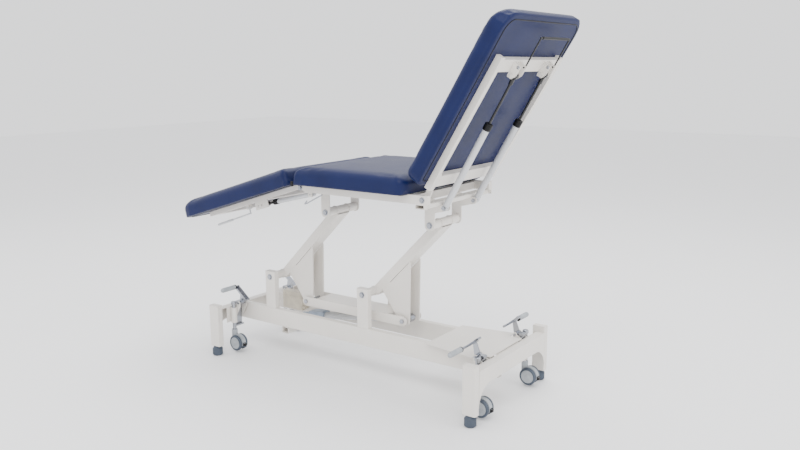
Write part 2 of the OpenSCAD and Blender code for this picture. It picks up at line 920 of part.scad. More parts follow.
module hanger_shape(lug) {
  translate([-hanger_w / 2, 0]) square([hanger_w, (lug ? seat_low : hang_tube_top) - upper_z]);
  circle(r = hanger_w / 2);
  if (lug) {
    translate([-head_hang_x, -upper_z]) {
      polygon([
        [lug_x0, lug_z1], [lug_x0, lug_z0], [spring_low_x, lug_z2], [spring_low_x, spring_low_z + lug_r]
      ]);
      translate([spring_low_x, spring_low_z]) circle(r = lug_r);
    }
  }
}

module hangers() {
  color(shell_c) centred() both_sides() for (k = [0, 1]) {
    x = k == 0 ? foot_hang_x : head_hang_x;
    difference() {
      translate([x, hanger_spread / 2 - hanger_t / 2, upper_z]) prism_y(hanger_t) hanger_shape(k == 1);
      bolt_y(x, upper_z, hanger_in - over, hanger_spread / 2 + over, bolt_r + fit_gap);
      bolt_y(spring_low_x, spring_low_z, hanger_in - over, hanger_spread / 2 + over,
        spring_bolt_r + fit_gap);
      box(hang_tube_x0, hang_tube_x1, 0, hanger_spread, hang_tube_top - hang_tube_h, hang_tube_top + over);
      box(rear_tube_x0, rear_tube_x1, 0, hanger_spread, end_plate_low, end_plate_low + rear_tube_h);
    }
  }
}

// Box tube across the table, or along it, with its hollow

module cross_tube(x0, x1, z0, z1, half) {
  translate([(x0 + x1) / 2, 0, (z0 + z1) / 2]) rotate([0, 0, 90]) prism_x(2 * half)
    rounded(x1 - x0, z1 - z0, corner_r);
}

module cross_hollow(x0, x1, z0, z1, half) {
  box(x0 + tube_wall, x1 - tube_wall, -half, half, z0 + tube_wall, z1 - tube_wall);
}

module seat_rail_shape() {
  polygon([
    [seat_rail_x0, seat_cut_z - seat_frame_h / 4], [seat_cut_x, seat_low], [seat_rail_x1, seat_low],
    [seat_rail_x1, seat_z], [seat_cut_x, seat_z], [seat_slope_x, seat_slope_top],
      [seat_rail_x0, seat_slope_z]
  ]);
}

module seat_frame() {
  mid_x0 = head_hang_x - mid_tube_w / 2;
  mid_x1 = head_hang_x + mid_tube_w / 2;
  color(shell_c) centred() difference() {
    union() {
      both_sides() {
        translate([0, frame_w / 2 - frame_t / 2, 0]) prism_y(frame_t) seat_rail_shape();
        box(end_plate_x, seat_rail_x1, frame_w / 2 - end_plate_t, frame_w / 2, end_plate_low,
          seat_low + over);
        box(leg_lug_x - leg_eye_r, leg_lug_x + leg_eye_r, frame_in, frame_in + end_plate_t,
          leg_lug_z - leg_eye_r, seat_low + over);
      }
      cross_tube(hang_tube_x0, hang_tube_x1, hang_tube_top - hang_tube_h, hang_tube_top, frame_in + over);
      cross_tube(mid_x0, mid_x1, seat_low, hang_tube_top, frame_in + over);
      cross_tube(rear_tube_x0, rear_tube_x1, end_plate_low, end_plate_low + rear_tube_h, frame_w / 2);
    }
    both_sides() box(seat_cut_x + tube_wall, seat_rail_x1 - wall_end, frame_in + tube_wall,
      frame_w / 2 - tube_wall, seat_low + tube_wall, seat_z - tube_wall);
    cross_hollow(hang_tube_x0, hang_tube_x1, hang_tube_top - hang_tube_h, hang_tube_top,
      frame_in + frame_t / 2);
    cross_hollow(mid_x0, mid_x1, seat_low, hang_tube_top, frame_in + frame_t / 2);
    cross_hollow(rear_tube_x0, rear_tube_x1, end_plate_low, end_plate_low + rear_tube_h, frame_w);
    bolt_y(leg_hinge_x, hinge_z, -frame_w, frame_w, hinge_r + fit_gap);
    bolt_y(back_hinge_x, hinge_z, -frame_w, frame_w, hinge_r + fit_gap);
    bolt_y(leg_lug_x, leg_lug_z, -frame_w, frame_w, leg_pin_r + fit_gap);
  }
}

module seat_bolts() {
  color(chrome_c) centred() {
    for (x = [foot_hang_x, head_hang_x]) {
      bolt_y(x, upper_z, -hanger_spread / 2 - head_t / 2, hanger_spread / 2 + head_t / 2, bolt_r);
      for (s = [-1, 1]) {
        translate([x, s * (hanger_spread / 2 + head_t / 2), upper_z]) hex_head(head_r, head_t);
      }
    }
    both_sides() {
      bolt_y(spring_low_x, spring_low_z, hanger_in - head_t, spring_y + spring_eye_half + head_t,
        spring_bolt_r);
      translate([spring_low_x, spring_y + spring_eye_half + head_t / 2 + side_play, spring_low_z])
        hex_head(head_r - over, head_t);
      translate([spring_low_x, hanger_in - head_t / 2, spring_low_z]) hex_head(head_r - over, head_t);
      bolt_y(leg_hinge_x, hinge_z, leg_rail_y - frame_t, frame_w / 2 + head_t / 2, hinge_r);
      translate([leg_hinge_x, frame_w / 2 + head_t / 2, hinge_z]) hex_head(head_r - over, head_t);
      bolt_y(back_hinge_x, hinge_z, frame_in - back_lug_t - head_t, frame_w / 2 + head_t / 2, hinge_r);
      translate([back_hinge_x, frame_w / 2 + head_t / 2, hinge_z]) hex_head(head_r - over, head_t);
    }
    mirror([0, 1, 0]) bolt_y(leg_lug_x, leg_lug_z, leg_spring_y - leg_eye_r, frame_in + end_plate_t,
      leg_pin_r);
  }
}

// Backrest, drawn level with its hinge at the origin

module backrest_frame() {
  low = hinge_drop - back_frame_h;
  color(shell_c) centred() at_back() difference() {
    union() {
      both_sides() {
        box(back_rail_0, back_l + rail_tip, frame_in, frame_w / 2, low, hinge_drop);
        translate([0, frame_in - back_lug_t / 2 - fit_gap, 0]) prism_y(back_lug_t) {
          circle(r = back_lug_r);
          polygon([[0, -back_lug_r], [back_rail_0, low], [back_lug_l, low],
            [back_lug_l, hinge_drop - over], [back_rail_0, hinge_drop - over], [0, back_lug_r]]);
        }
        box(back_rail_0, back_lug_l, frame_in - over, frame_in + over, low, hinge_drop - over);
      }
      cross_tube(back_low_0, back_low_1, low, hinge_drop, frame_in + over);
      cross_tube(back_l - back_top_w, back_l, low, hinge_drop, frame_in + over);
    }
    both_sides() {
      box(
        back_rail_0 + wall_end, back_l + rail_tip - wall_end, frame_in + tube_wall, frame_w / 2 - tube_wall,
        low + tube_wall, hinge_drop - tube_wall
      );
    }
    cross_hollow(back_low_0, back_low_1, low, hinge_drop, frame_in + frame_t / 2);
    cross_hollow(back_l - back_top_w, back_l, low, hinge_drop, frame_in + frame_t / 2);
    rod_y(hinge_r + run_gap, frame_w);
  }
}

module spring_plates() {
  low = hinge_drop - back_frame_h;
  color(shell_c) centred() at_back() {
    for (s = [-1, 1]) {
      for (t = [-1, 1]) translate([back_l, s * spring_y + t * spring_plate_in, 0]) difference() {
        prism_y(spring_plate_t) polygon([
          [-plate_edge / 2, low],
          [bar_start - back_l + plate_edge, -bar_start_drop],
          [bar_start - back_l + plate_edge, -bar_start_drop - plate_edge],
          [-back_top_w + bar_r, -bar_start_drop - plate_edge],
          [-plate_reach, -bar_start_drop + bar_r],
          [-plate_reach, low]
        ]);
        translate([bar_start - back_l, 0, -bar_start_drop]) rod_y(bar_r + run_gap, 2 * spring_plate_t);
      }
      translate([spring_along, s * spring_y, -spring_drop]) {
        rod_y(spring_bolt_r, 2 * spring_plate_in + head_t);
        for (t = [-1, 1]) {
          translate([0, t * (spring_plate_in + spring_plate_t), 0]) hex_head(plate_edge, spring_plate_t);
        }
      }
    }
  }
}

module release_bar() {
  color(chrome_c) centred() at_back() {
    for (y = [bar_y0, bar_y1]) {
      strut([bar_start, -bar_start_drop], [bar_end, -bar_end_drop], y, bar_r);
      translate([bar_end, y, -bar_end_drop]) sphere(r = bar_r + joint_grow);
      translate([bar_start, y, -bar_start_drop]) sphere(r = bar_r + joint_grow);
    }
    bolt_y(bar_start, -bar_start_drop, -spring_y + spring_plate_in - spring_plate_t, bar_y0, bar_r);
    bolt_y(bar_start, -bar_start_drop, spring_y + spring_plate_in - spring_plate_t, bar_y1, bar_r);
    bolt_y(bar_end, -bar_end_drop, bar_y0, bar_y1, bar_r);
  }
}

module release_grip() {
  color(black_c) centred() at_back() difference() {
    bolt_y(bar_end, -bar_end_drop, grip_y0, grip_y1, grip_r);
    bolt_y(bar_end, -bar_end_drop, bar_y0, bar_y1, bar_r);
  }
}

// Gas springs, drawn along X from their lower eyes

spring_top_x = back_hinge_x + spring_along * cos(back_angle) + spring_drop * sin(back_angle);
spring_top_z = hinge_z + spring_along * sin(back_angle) - spring_drop * cos(back_angle);
spring_d = [spring_top_x - spring_low_x, spring_top_z - spring_low_z];
spring_l = norm(spring_d);
leg_pin_x = leg_hinge_x - leg_pin_along * cos(leg_angle) + leg_pin_drop * sin(leg_angle);
leg_pin_z = hinge_z - leg_pin_along * sin(leg_angle) - leg_pin_drop * cos(leg_angle);
leg_spring_d = [leg_pin_x - leg_lug_x, leg_pin_z - leg_lug_z];
leg_spring_l = norm(leg_spring_d);

module at_spring(side) {
  translate([spring_low_x, side * spring_y, spring_low_z])
    rotate([0, -atan2(spring_d[1], spring_d[0]), 0]) children();
}

module at_leg_spring() {
  translate([leg_lug_x, -leg_spring_y, leg_lug_z])
    rotate([0, -atan2(leg_spring_d[1], leg_spring_d[0]), 0]) children();
}

module cylinder_body(body_l, r, rr, eye, eye_bolt, half, start) {
  difference() {
    union() {
      rod_y(eye, 2 * half);
      translate([eye - over, 0, 0]) rod_x(r, body_l - collar_l - eye + over);
    }
    rod_y(eye_bolt + run_gap, 4 * half);
    translate([start, 0, 0]) rod_x(rr + run_gap, body_l);
  }
}

module collar(body_l, r, rr) {
  translate([body_l - collar_l, 0, 0]) difference() {
    rod_x(r, collar_l);
    translate([-over, 0, 0]) rod_x(rr + run_gap, collar_l + 2 * over);
  }
}

module spring_rod(l, rr, start, eye, bore, half, neck) {
  difference() {
    union() {
      translate([start, 0, 0]) rod_x(rr, l - start - bore);
      translate([l - eye - neck_l, 0, 0]) rod_x(neck, neck_l + eye - bore);
      translate([l, 0, 0]) rod_y(eye, 2 * half);
    }
    translate([l, 0, 0]) rod_y(bore, 4 * half);
  }
}

module spring_cylinder(side) {
  color(grey_c) centred() at_spring(side) {
    cylinder_body(spring_body_l, spring_r, spring_rod_r, eye_r, spring_bolt_r, spring_eye_half,
      spring_body_l / 4);
  }
}

module spring_collar(side) {
  color(black_c) centred() at_spring(side) collar(spring_body_l, collar_r, spring_rod_r);
}

module spring_push_rod(side) {
  color(black_c) centred() at_spring(side) {
    spring_rod(spring_l, spring_rod_r, spring_body_l / 2, spring_eye_r, spring_eye_bore,
      spring_eye_half, neck_r);
  }
}

module leg_spring_cylinder() {
  color(grey_c) centred() at_leg_spring() {
    cylinder_body(leg_spring_body_l, leg_spring_r, leg_spring_rod_r, leg_eye_r, leg_pin_r,
      leg_eye_r - over, leg_spring_body_l / 3);
  }
}

module leg_spring_collar() {
  color(black_c) centred() at_leg_spring()
    collar(leg_spring_body_l, leg_spring_r + over / 2, leg_spring_rod_r);
}

module leg_spring_rod() {
  color(black_c) centred() at_leg_spring() {
    spring_rod(leg_spring_l, leg_spring_rod_r, leg_spring_body_l / 2, leg_eye_r,
      leg_pin_r + leg_pin_play, leg_eye_r - over, leg_spring_rod_r + over);
  }
}

// Leg section, drawn level with its hinge at the origin and its end at -X

module leg_frame() {
  low = hinge_drop - leg_frame_h;
  inner = leg_rail_y - frame_t;
  color(shell_c) centred() at_leg() difference() {
    union() {
      both_sides() {
        box(-leg_l_frame - rail_tip, -leg_eye_r / 2, inner, leg_rail_y, low, hinge_drop);
        translate([0, leg_rail_y - frame_t / 2, 0]) rod_y(hinge_boss_r, frame_t);
      }
      cross_tube(-leg_l_frame, -leg_l_frame + frame_t, low, hinge_drop, inner + over);
      cross_tube(-leg_l_frame / 2, -leg_l_frame / 2 + frame_t, low, hinge_drop, inner + over);
      mirror([0, 1, 0]) {
        box(-leg_bracket_end, -leg_bracket_start, leg_rail_y - leg_bracket_t, leg_rail_y,
          -leg_bracket_drop, low + over);
        bolt_y(-leg_pin_along, -leg_pin_drop, leg_spring_y - leg_eye_r, leg_rail_y, leg_pin_r);
        for (t = [-1, 1]) {
          translate([-rel_start, rel_y + t * rel_lug_y, 0]) prism_y(rel_lug_t) {
            translate([-rel_lug_r, -rel_start_drop]) square([2 * rel_lug_r, rel_start_drop + low + over]);
            translate([0, -rel_start_drop]) circle(r = rel_lug_r);
          }
        }
      }
    }
    both_sides() {
      box(
        wall_end - leg_l_frame - rail_tip, -hinge_boss_r - wall_end, inner + tube_wall, leg_rail_y - tube_wall,
        low + tube_wall, hinge_drop - tube_wall
      );
    }
    cross_hollow(-leg_l_frame, -leg_l_frame + frame_t, low, hinge_drop, inner + frame_t / 2);
    cross_hollow(-leg_l_frame / 2, -leg_l_frame / 2 + frame_t, low, hinge_drop, inner + frame_t / 2);
    rod_y(hinge_r + run_gap, frame_w);
    mirror([0, 1, 0]) {
      for (u =
        [leg_bracket_start + leg_bracket_end, leg_bracket_end + leg_bracket_end - leg_bracket_drop]) {
        bolt_y(-u / 2, -leg_pin_drop, leg_rail_y - frame_t, frame_w, hole_r);
      }
      bolt_y(-rel_start, -rel_start_drop, rel_y - 2 * rel_lug_y, rel_y + 2 * rel_lug_y,
        rel_r + joint_grow + run_gap);
    }
  }
}

module leg_release() {
  start = [-rel_start, -rel_start_drop];
  bend = [-rel_start, -rel_bend_drop];
  tip = [-rel_end, -rel_end_drop];
  grip = bend + (tip - bend) * rel_grip_share;
  color(slate_c) centred() at_leg() {
    bolt_y(start[0], start[1], -rel_y - rel_lug_y - rel_lug_t, -rel_y + rel_lug_y + rel_lug_t,
      rel_r + joint_grow);
    strut(start, bend - [0, rel_r / 2], -rel_y, rel_r);
    translate([bend[0], -rel_y, bend[1]]) sphere(r = rel_r + joint_grow);
    strut(bend, (grip + tip) / 2, -rel_y, rel_r);
    strut(grip, tip, -rel_y, rel_grip_r);
  }
}

// Cushions: rings of points from the base to the crown, each a rounded outline

function arc_pts(c, r, a) = [for (i = [0:4]) c + r * [cos(a + 22.5 * i), sin(a + 22.5 * i)]];

function side_pts(p, q, m) = [for (i = [1:m - 1]) p + (q - p) * i / m];

function plan(a, b, r0, r1) = concat(
  arc_pts([a - r1, b - r1], r1, 0), side_pts([a - r1, b], [r0 - a, b], 7),
  arc_pts([r0 - a, b - r0], r0, 90), side_pts([-a, b - r0], [-a, r0 - b], 5),
  arc_pts([r0 - a, r0 - b], r0, 180), side_pts([r0 - a, -b], [a - r1, -b], 7),
  arc_pts([a - r1, r1 - b], r1, 270), side_pts([a, r1 - b], [a, b - r1], 5)
);

function drawn(p, a, b) = [p[0], p[1] * (1 - pad_draw / b * (1 - p[0] * p[0] / (a * a)))];

function rounder(x, z, a, d) = x < a - pad_end_l ? x
  : x - d * pow(2 * z / pad_t - 1, 2) * pow((x - a + pad_end_l) / pad_end_l, 2);

function fallen(x, z, a, fall) =
  let (t = fall > 0 ? max(0, (abs(x) - a + fall) / fall) : 0)
    z * (1 - pad_fall_share * (1 - sqrt(1 - min(1, t * t))));

function pad_points(x0, x1, r0, r1, fall_0, fall_1, d) =
  let (a = (x1 - x0) / 2, b = pad_w / 2, m = (x0 + x1) / 2) [
    for (k = ring_rows) for (p = plan(a - k[0], b - k[0], r0 - k[0], r1 - k[0]))
      let (q = drawn(p * k[2], a, b)) [
        m + rounder(q[0], min(k[1], pad_t), a, d), q[1], fallen(q[0], k[1], a, q[0] < 0 ? fall_0 : fall_1)
      ],
    [m, 0, 0], [m, 0, pad_t + pad_crown]
  ];

function leg_pad_points() = pad_points(-leg_pad_1, -leg_pad_0, pad_corner_big, pad_corner_small,
  pad_fall_l, 0, 0);

module pad_form(points) {
  rows = len(ring_rows);
  n = (len(points) - 2) / rows;
  faces = concat(
    [for (j = [0:rows - 2], i = [0:n - 1]) [j * n + i, (j + 1) * n + i, j * n + (i + 1) % n]],
    [for (j = [0:rows - 2], i = [0:n - 1])
      [(j + 1) * n + i, (j + 1) * n + (i + 1) % n, j * n + (i + 1) % n]],
    [for (i = [0:n - 1]) [i, (i + 1) % n, rows * n]],
    [for (i = [0:n - 1]) [(rows - 1) * n + (i + 1) % n, (rows - 1) * n + i, rows * n + 1]]
  );
  polyhedron(points = points, faces = faces);
}

module seat_cushion() {
  color(vinyl_c) centred() translate([0, 0, seat_z]) {
    pad_form(pad_points(seat_pad_x0, seat_pad_x1, pad_corner_small, pad_corner, pad_fall_small, 0,
      pad_end_round));
  }
}

module backrest_cushion() {
  color(vinyl_c) centred() at_back() translate([0, 0, hinge_drop]) {
    pad_form(pad_points(back_pad_0, back_pad_1, pad_corner, pad_corner_big, 0, pad_fall_l, 0));
  }
}

module leg_cushion() {
  color(vinyl_c) centred() at_leg() translate([0, 0, hinge_drop]) pad_form(leg_pad_points());
}

side_rails();
lift_posts();
legs();
leg_caps();
feet();
end_beams();
cross_member();
castor_mounts();
tray();
control_box();
post_bolts();
pedal(-1, -1);  // pedal_foot_near
grip(-1, -1);  // grip_foot_near
stem(-1, -1);  // stem_foot_near
hood(-1, -1);  // hood_foot_near
wheels(-1, -1);  // wheels_foot_near
pedal(-1, 1);  // pedal_foot_far
grip(-1, 1);  // grip_foot_far
stem(-1, 1);  // stem_foot_far
hood(-1, 1);  // hood_foot_far
wheels(-1, 1);  // wheels_foot_far
pedal(1, -1);  // pedal_head_near
grip(1, -1);  // grip_head_near
stem(1, -1);  // stem_head_near
hood(1, -1);  // hood_head_near
wheels(1, -1);  // wheels_head_near
pedal(1, 1);  // pedal_head_far
grip(1, 1);  // grip_head_far
stem(1, 1);  // stem_head_far
hood(1, 1);  // hood_head_far
wheels(1, 1);  // wheels_head_far
foot_arm();
head_arm();
link_bar();
foot_link_bolt();
head_link_bolt();
motor_housing();
actuator_tube();
push_rod();
seat_frame();
hangers();
seat_cushion();
seat_bolts();
backrest_frame();
backrest_cushion();
spring_plates();
release_bar();
release_grip();
spring_cylinder(-1);  // near_spring_cylinder
spring_collar(-1);  // near_spring_collar
spring_push_rod(-1);  // near_spring_rod
spring_cylinder(1);  // far_spring_cylinder
spring_collar(1);  // far_spring_collar
spring_push_rod(1);  // far_spring_rod
leg_frame();
leg_cushion();
leg_spring_cylinder();
leg_spring_collar();
leg_spring_rod();
leg_release();
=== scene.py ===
"""Dresses a height-adjustable treatment table: its cushions, trims, finishes, floor, light and camera."""

import json

import bmesh
import bpy
import numpy as np
from mathutils import Matrix, Vector


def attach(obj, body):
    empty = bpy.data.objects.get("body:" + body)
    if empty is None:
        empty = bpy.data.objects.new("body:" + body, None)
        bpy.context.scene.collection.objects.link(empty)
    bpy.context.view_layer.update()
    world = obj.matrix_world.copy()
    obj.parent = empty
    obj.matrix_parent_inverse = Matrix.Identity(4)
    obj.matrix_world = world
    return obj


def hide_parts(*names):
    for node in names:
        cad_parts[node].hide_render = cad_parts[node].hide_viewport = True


bl_info = {
    "name": "Treatment table",
    "version": (1, 0, 0),
    "blender": (4, 5, 0),
    "location": "View3D > Sidebar > Table",
    "description": "Builds the cushions, trims and finishes of a treatment table around its frame",
    "category": "Add Mesh",
}

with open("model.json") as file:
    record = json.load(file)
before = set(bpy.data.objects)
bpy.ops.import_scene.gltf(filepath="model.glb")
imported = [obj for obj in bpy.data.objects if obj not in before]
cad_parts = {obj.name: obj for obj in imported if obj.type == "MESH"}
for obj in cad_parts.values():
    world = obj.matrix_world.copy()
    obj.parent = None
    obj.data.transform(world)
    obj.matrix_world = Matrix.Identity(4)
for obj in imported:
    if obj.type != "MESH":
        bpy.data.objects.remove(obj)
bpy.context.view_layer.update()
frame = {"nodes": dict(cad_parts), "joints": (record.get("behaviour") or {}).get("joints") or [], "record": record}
JOINTS = {joint["name"]: joint for joint in frame["joints"]}
PLACES = {name: np.array(joint["pos_m"], float) for name, joint in JOINTS.items()}
BACK_HINGE = PLACES["backrest_hinge"]
LEG_HINGE = PLACES["leg_section_hinge"]
LOW_PIVOTS = {"foot_arm": PLACES["lift"], "head_arm": PLACES["head_arm_pivot"]}
ARM = PLACES["top_frame_pivot"] - PLACES["lift"]
# How far the backrest and the leg section are raised at rest.
BACK_TILT = np.radians(58.3)
LEG_TILT = np.radians(17.3)
# The lift's pivot, along from the middle of the floor frame, and where that middle is.
LIFT_ALONG = -0.495
MIDDLE_X = PLACES["lift"][0] - LIFT_ALONG
# Each castor's end of the table and its side.
CASTORS = {
    "foot_near": (-1, -1),
    "foot_far": (-1, 1),
    "head_near": (1, -1),
    "head_far": (1, 1),
}


def at(x, y, z):
    """A point given in millimetres from the middle of the floor frame, in metres in the table's frame."""
    return np.array([x / 1000 + MIDDLE_X, y / 1000, z / 1000])


def length(name, description, default):
    """A setting that is a length in metres."""
    return bpy.props.FloatProperty(name=name, description=description, default=default, unit="LENGTH")


# Surfaces


def seal(mesh):
    """Merges doubled points at seams and poles, drops flat faces and turns the faces outwards."""
    work = bmesh.new()
    work.from_mesh(mesh)
    bmesh.ops.remove_doubles(work, verts=work.verts, dist=1e-6)
    bmesh.ops.dissolve_degenerate(work, edges=work.edges, dist=1e-7)
    bmesh.ops.recalc_face_normals(work, faces=work.faces)
    work.to_mesh(mesh)
    work.free()
    mesh.update()


def surface(name, grids, body, slot):
    """One object from point grids, in the finish of its slot. A grid's rows wrap round along their
    length. Its first and last rows are joined where they are the same, and otherwise each is closed
    with a fan to its middle.
    """
    points, faces, base = [], [], 0
    for grid in grids:
        looped = np.allclose(grid[0], grid[-1])
        grid = grid[:-1] if looped else grid
        rows, count = grid.shape[:2]
        i, j = np.meshgrid(np.arange(rows if looped else rows - 1), np.arange(count), indexing="ij")
        near, far, turn = i * count, (i + 1) % rows * count, (j + 1) % count
        squares = np.stack([near + j, near + turn, far + turn, far + j], axis=-1)
        faces += (squares.reshape(-1, 4) + base).tolist()
        points.append(grid.reshape(-1, 3))
        if not looped:
            step = np.arange(count)
            after = (step + 1) % count
            top = (rows - 1) * count
            points.append(np.stack([grid[0].mean(axis=0), grid[-1].mean(axis=0)]))
            middle = step * 0 + rows * count
            faces += (np.stack([middle, after, step], axis=-1) + base).tolist()
            faces += (np.stack([middle + 1, top + step, top + after], axis=-1) + base).tolist()
            base += 2
        base += rows * count
    mesh = bpy.data.meshes.new(name)
    mesh.from_pydata(np.vstack(points).tolist(), [], faces)
    mesh.update()
    seal(mesh)
    mesh.polygons.foreach_set("use_smooth", np.ones(len(mesh.polygons), dtype=bool))
    mesh.materials.append(made(slot))
    piece = bpy.data.objects.new(name, mesh)
    bpy.context.scene.collection.objects.link(piece)
    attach(piece, body)
    return piece


def turned(profile, centre, axis, steps):
    """A turned shape. Each profile row is a radius and a distance along the axis, and the point goes
    round the axis at that radius.
    """
    axis = np.asarray(axis, float) / np.linalg.norm(axis)
    side = np.cross(axis, [0.0, 0.0, 1.0] if abs(axis[2]) < 0.9 else [1.0, 0.0, 0.0])
    side /= np.linalg.norm(side)
    up = np.cross(axis, side)
    turn = np.linspace(0, 2 * np.pi, steps, endpoint=False)
    ring = np.cos(turn)[:, None] * side + np.sin(turn)[:, None] * up
    profile = np.asarray(profile, float)
    return centre + profile[:, 1][:, None, None] * axis + profile[:, 0][:, None, None] * ring[None]


def carried(path, radius, flat, sides=12, closed=False):
    """A round section carried along a path that lies in one plane. The section's two directions are
    the plane's normal and the path's own side, and the radius may change along it.
    """
    path = np.asarray(path, float)
    flat = np.asarray(flat, float) / np.linalg.norm(flat)
    if closed:
        run = np.roll(path, -1, axis=0) - np.roll(path, 1, axis=0)
    else:
        run = np.gradient(path, axis=0)
    run /= np.linalg.norm(run, axis=1, keepdims=True)
    side = np.cross(flat, run)
    side /= np.linalg.norm(side, axis=1, keepdims=True)
    turn = np.linspace(0, 2 * np.pi, sides, endpoint=False)
    size = np.broadcast_to(radius, len(path))[:, None, None]
    ring = np.cos(turn)[None, :, None] * side[:, None] + np.sin(turn)[None, :, None] * flat
    grid = path[:, None] + size * ring
    return np.vstack([grid, grid[:1]]) if closed else grid


def soft_block(centre, half, power, steps):
    """A block with rounded edges. Each of its three directions goes as a sine or cosine raised to a
    small power and keeps its sign.
    """
    rise = np.linspace(-np.pi / 2, np.pi / 2, steps)[:, None]
    turn = np.linspace(0, 2 * np.pi, 2 * steps, endpoint=False)[None]

    def drawn(value):
        return np.sign(value) * np.abs(value) ** power

    x = half[0] * drawn(np.cos(rise)) * drawn(np.cos(turn))
    y = half[1] * drawn(np.cos(rise)) * drawn(np.sin(turn))
    z = half[2] * drawn(np.sin(rise)) * np.ones_like(turn)
    return np.stack([x, y, z], axis=-1) + centre


def tilted(points, hinge, tilt):
    """Points drawn level about a hinge, in metres, turned about the hinge by the tilt. Length and
    height mix by the cosine and sine of the tilt.
    """
    x, y, z = points[..., 0], points[..., 1], points[..., 2]
    return np.stack(
        [
            hinge[0] + x * np.cos(tilt) - z * np.sin(tilt),
            y,
            hinge[2] + x * np.sin(tilt) + z * np.cos(tilt),
        ],
        axis=-1,
    )


# Finishes


class Value:
    """A socket of a finish that Python's arithmetic can use."""

    def __init__(self, finish, socket):
        self.finish = finish
        self.socket = socket

    def maths(self, operation, first, second=0.0):
        return self.finish.node("ShaderNodeMath", {"operation": operation}, {0: first, 1: second})

    def __add__(self, other):
        return self.maths("ADD", self, other)

    def __sub__(self, other):
        return self.maths("SUBTRACT", self, other)

    def __rsub__(self, other):
        return self.maths("SUBTRACT", other, self)

    def __mul__(self, other):
        return self.maths("MULTIPLY", self, other)

    __radd__ = __add__
    __rmul__ = __mul__


class Finish:
    """A material for one of the table's finishes, with its shader and the nodes that feed it."""

    def __init__(self, name, colour, roughness, **settings):
        self.material = bpy.data.materials.new(name)
        self.material.use_nodes = True
        self.tree = self.material.node_tree
        self.shader = self.tree.nodes["Principled BSDF"]
        self.material.diffuse_color = (*colour, 1.0)
        self.set("Base Color", (*colour, 1.0))
        self.set("Roughness", roughness)
        for socket, value in settings.items():
            self.set(socket.replace("_", " "), value)
        self.place = self.node("ShaderNodeTexCoord", out="Object")

    def node(self, kind, settings=None, sockets=None, out=0):
        """Adds a node of a kind, applies its settings first, then its sockets' values or links, and
        gives one output.
        """
        added = self.tree.nodes.new(kind)
        for key, value in (settings or {}).items():
            setattr(added, key, value)
        for key, value in (sockets or {}).items():
            if isinstance(value, Value):
                self.tree.links.new(value.socket, added.inputs[key])
            else:
                added.inputs[key].default_value = value
        return Value(self, added.outputs[out])

    def set(self, socket, value):
        """Puts a number, colour or link on one of the shader's own sockets."""
        if isinstance(value, Value):
            self.tree.links.new(value.socket, self.shader.inputs[socket])
        else:
            self.shader.inputs[socket].default_value = value

    def noise(self, scale, detail=2.0, stretch=None):
        """Soft noise on the object's own coordinates, at so many bumps a metre."""
        place = self.place
        if stretch:
            place = self.node("ShaderNodeMapping", None, {"Vector": place, "Scale": stretch})
        return self.node("ShaderNodeTexNoise", None, {"Vector": place, "Scale": scale, "Detail": detail})

    def cells(self, scale):
        """Cell pattern on the object's own coordinates: how far a point is from its cell's middle."""
        return self.node("ShaderNodeTexVoronoi", {"feature": "F1"}, {"Vector": self.place, "Scale": scale})

    def band(self, value, low, high):
        """Brings a value's stretch from low to high onto nought to one, smoothly."""
        return self.node(
            "ShaderNodeMapRange",
            {"interpolation_type": "SMOOTHSTEP"},
            {"Value": value, "From Min": low, "From Max": high},
        )

    def blend(self, share, first, second):
        """Mixes two colours by a share."""
        return self.node(
            "ShaderNodeMix",
            {"data_type": "RGBA"},
            {0: share, 6: first, 7: second},
            out=2,
        )

    def edge(self, width):
        """How near a point is to an edge: the difference between the rounded normal and the face's
        own, from nought to one.
        """
        round_normal = self.node("ShaderNodeBevel", {"samples": 4}, {"Radius": width})
        flat_normal = self.node("ShaderNodeNewGeometry", out="Normal")
        normals = {0: round_normal, 1: flat_normal}
        near = self.node("ShaderNodeVectorMath", {"operation": "DOT_PRODUCT"}, normals, out="Value")
        return self.band(1.0 - near, 0.02, 0.2)

    def bumps(self, height, strength, distance, edge=0.0):
        """Raises the surface by a height, over edges rounded by a small radius where one is given."""
        sockets = {"Height": height, "Strength": strength, "Distance": distance}
        if edge:
            sockets["Normal"] = self.node("ShaderNodeBevel", {"samples": 4}, {"Radius": edge})
        self.set("Normal", self.node("ShaderNodeBump", None, sockets))


def shade(colour, factor):
    """A colour made lighter or darker, with its alpha."""
    return (*(min(1.0, part * factor) for part in colour), 1.0)


def powder_coat(name, colour):
    """Satin powder coat: fine orange-peel bumps, faint clouding and slightly worn edges."""
    made = Finish(name, colour, 0.34, Specular_IOR_Level=0.5)
    cloud = made.noise(5.0, 3.0)
    peel = made.noise(650.0, 1.0)
    rub = made.edge(0.0012) * made.band(made.noise(60.0), 0.35, 0.7)
    base = made.blend(made.band(cloud, 0.3, 0.7), shade(colour, 0.965), shade(colour, 1.02))
    made.set("Base Color", made.blend(rub * 0.5, base, shade(colour, 0.86)))
    made.set("Roughness", 0.28 + cloud * 0.12 + peel * 0.06)
    made.bumps(peel, 0.18, 0.0002, edge=0.0015)
    return made.material


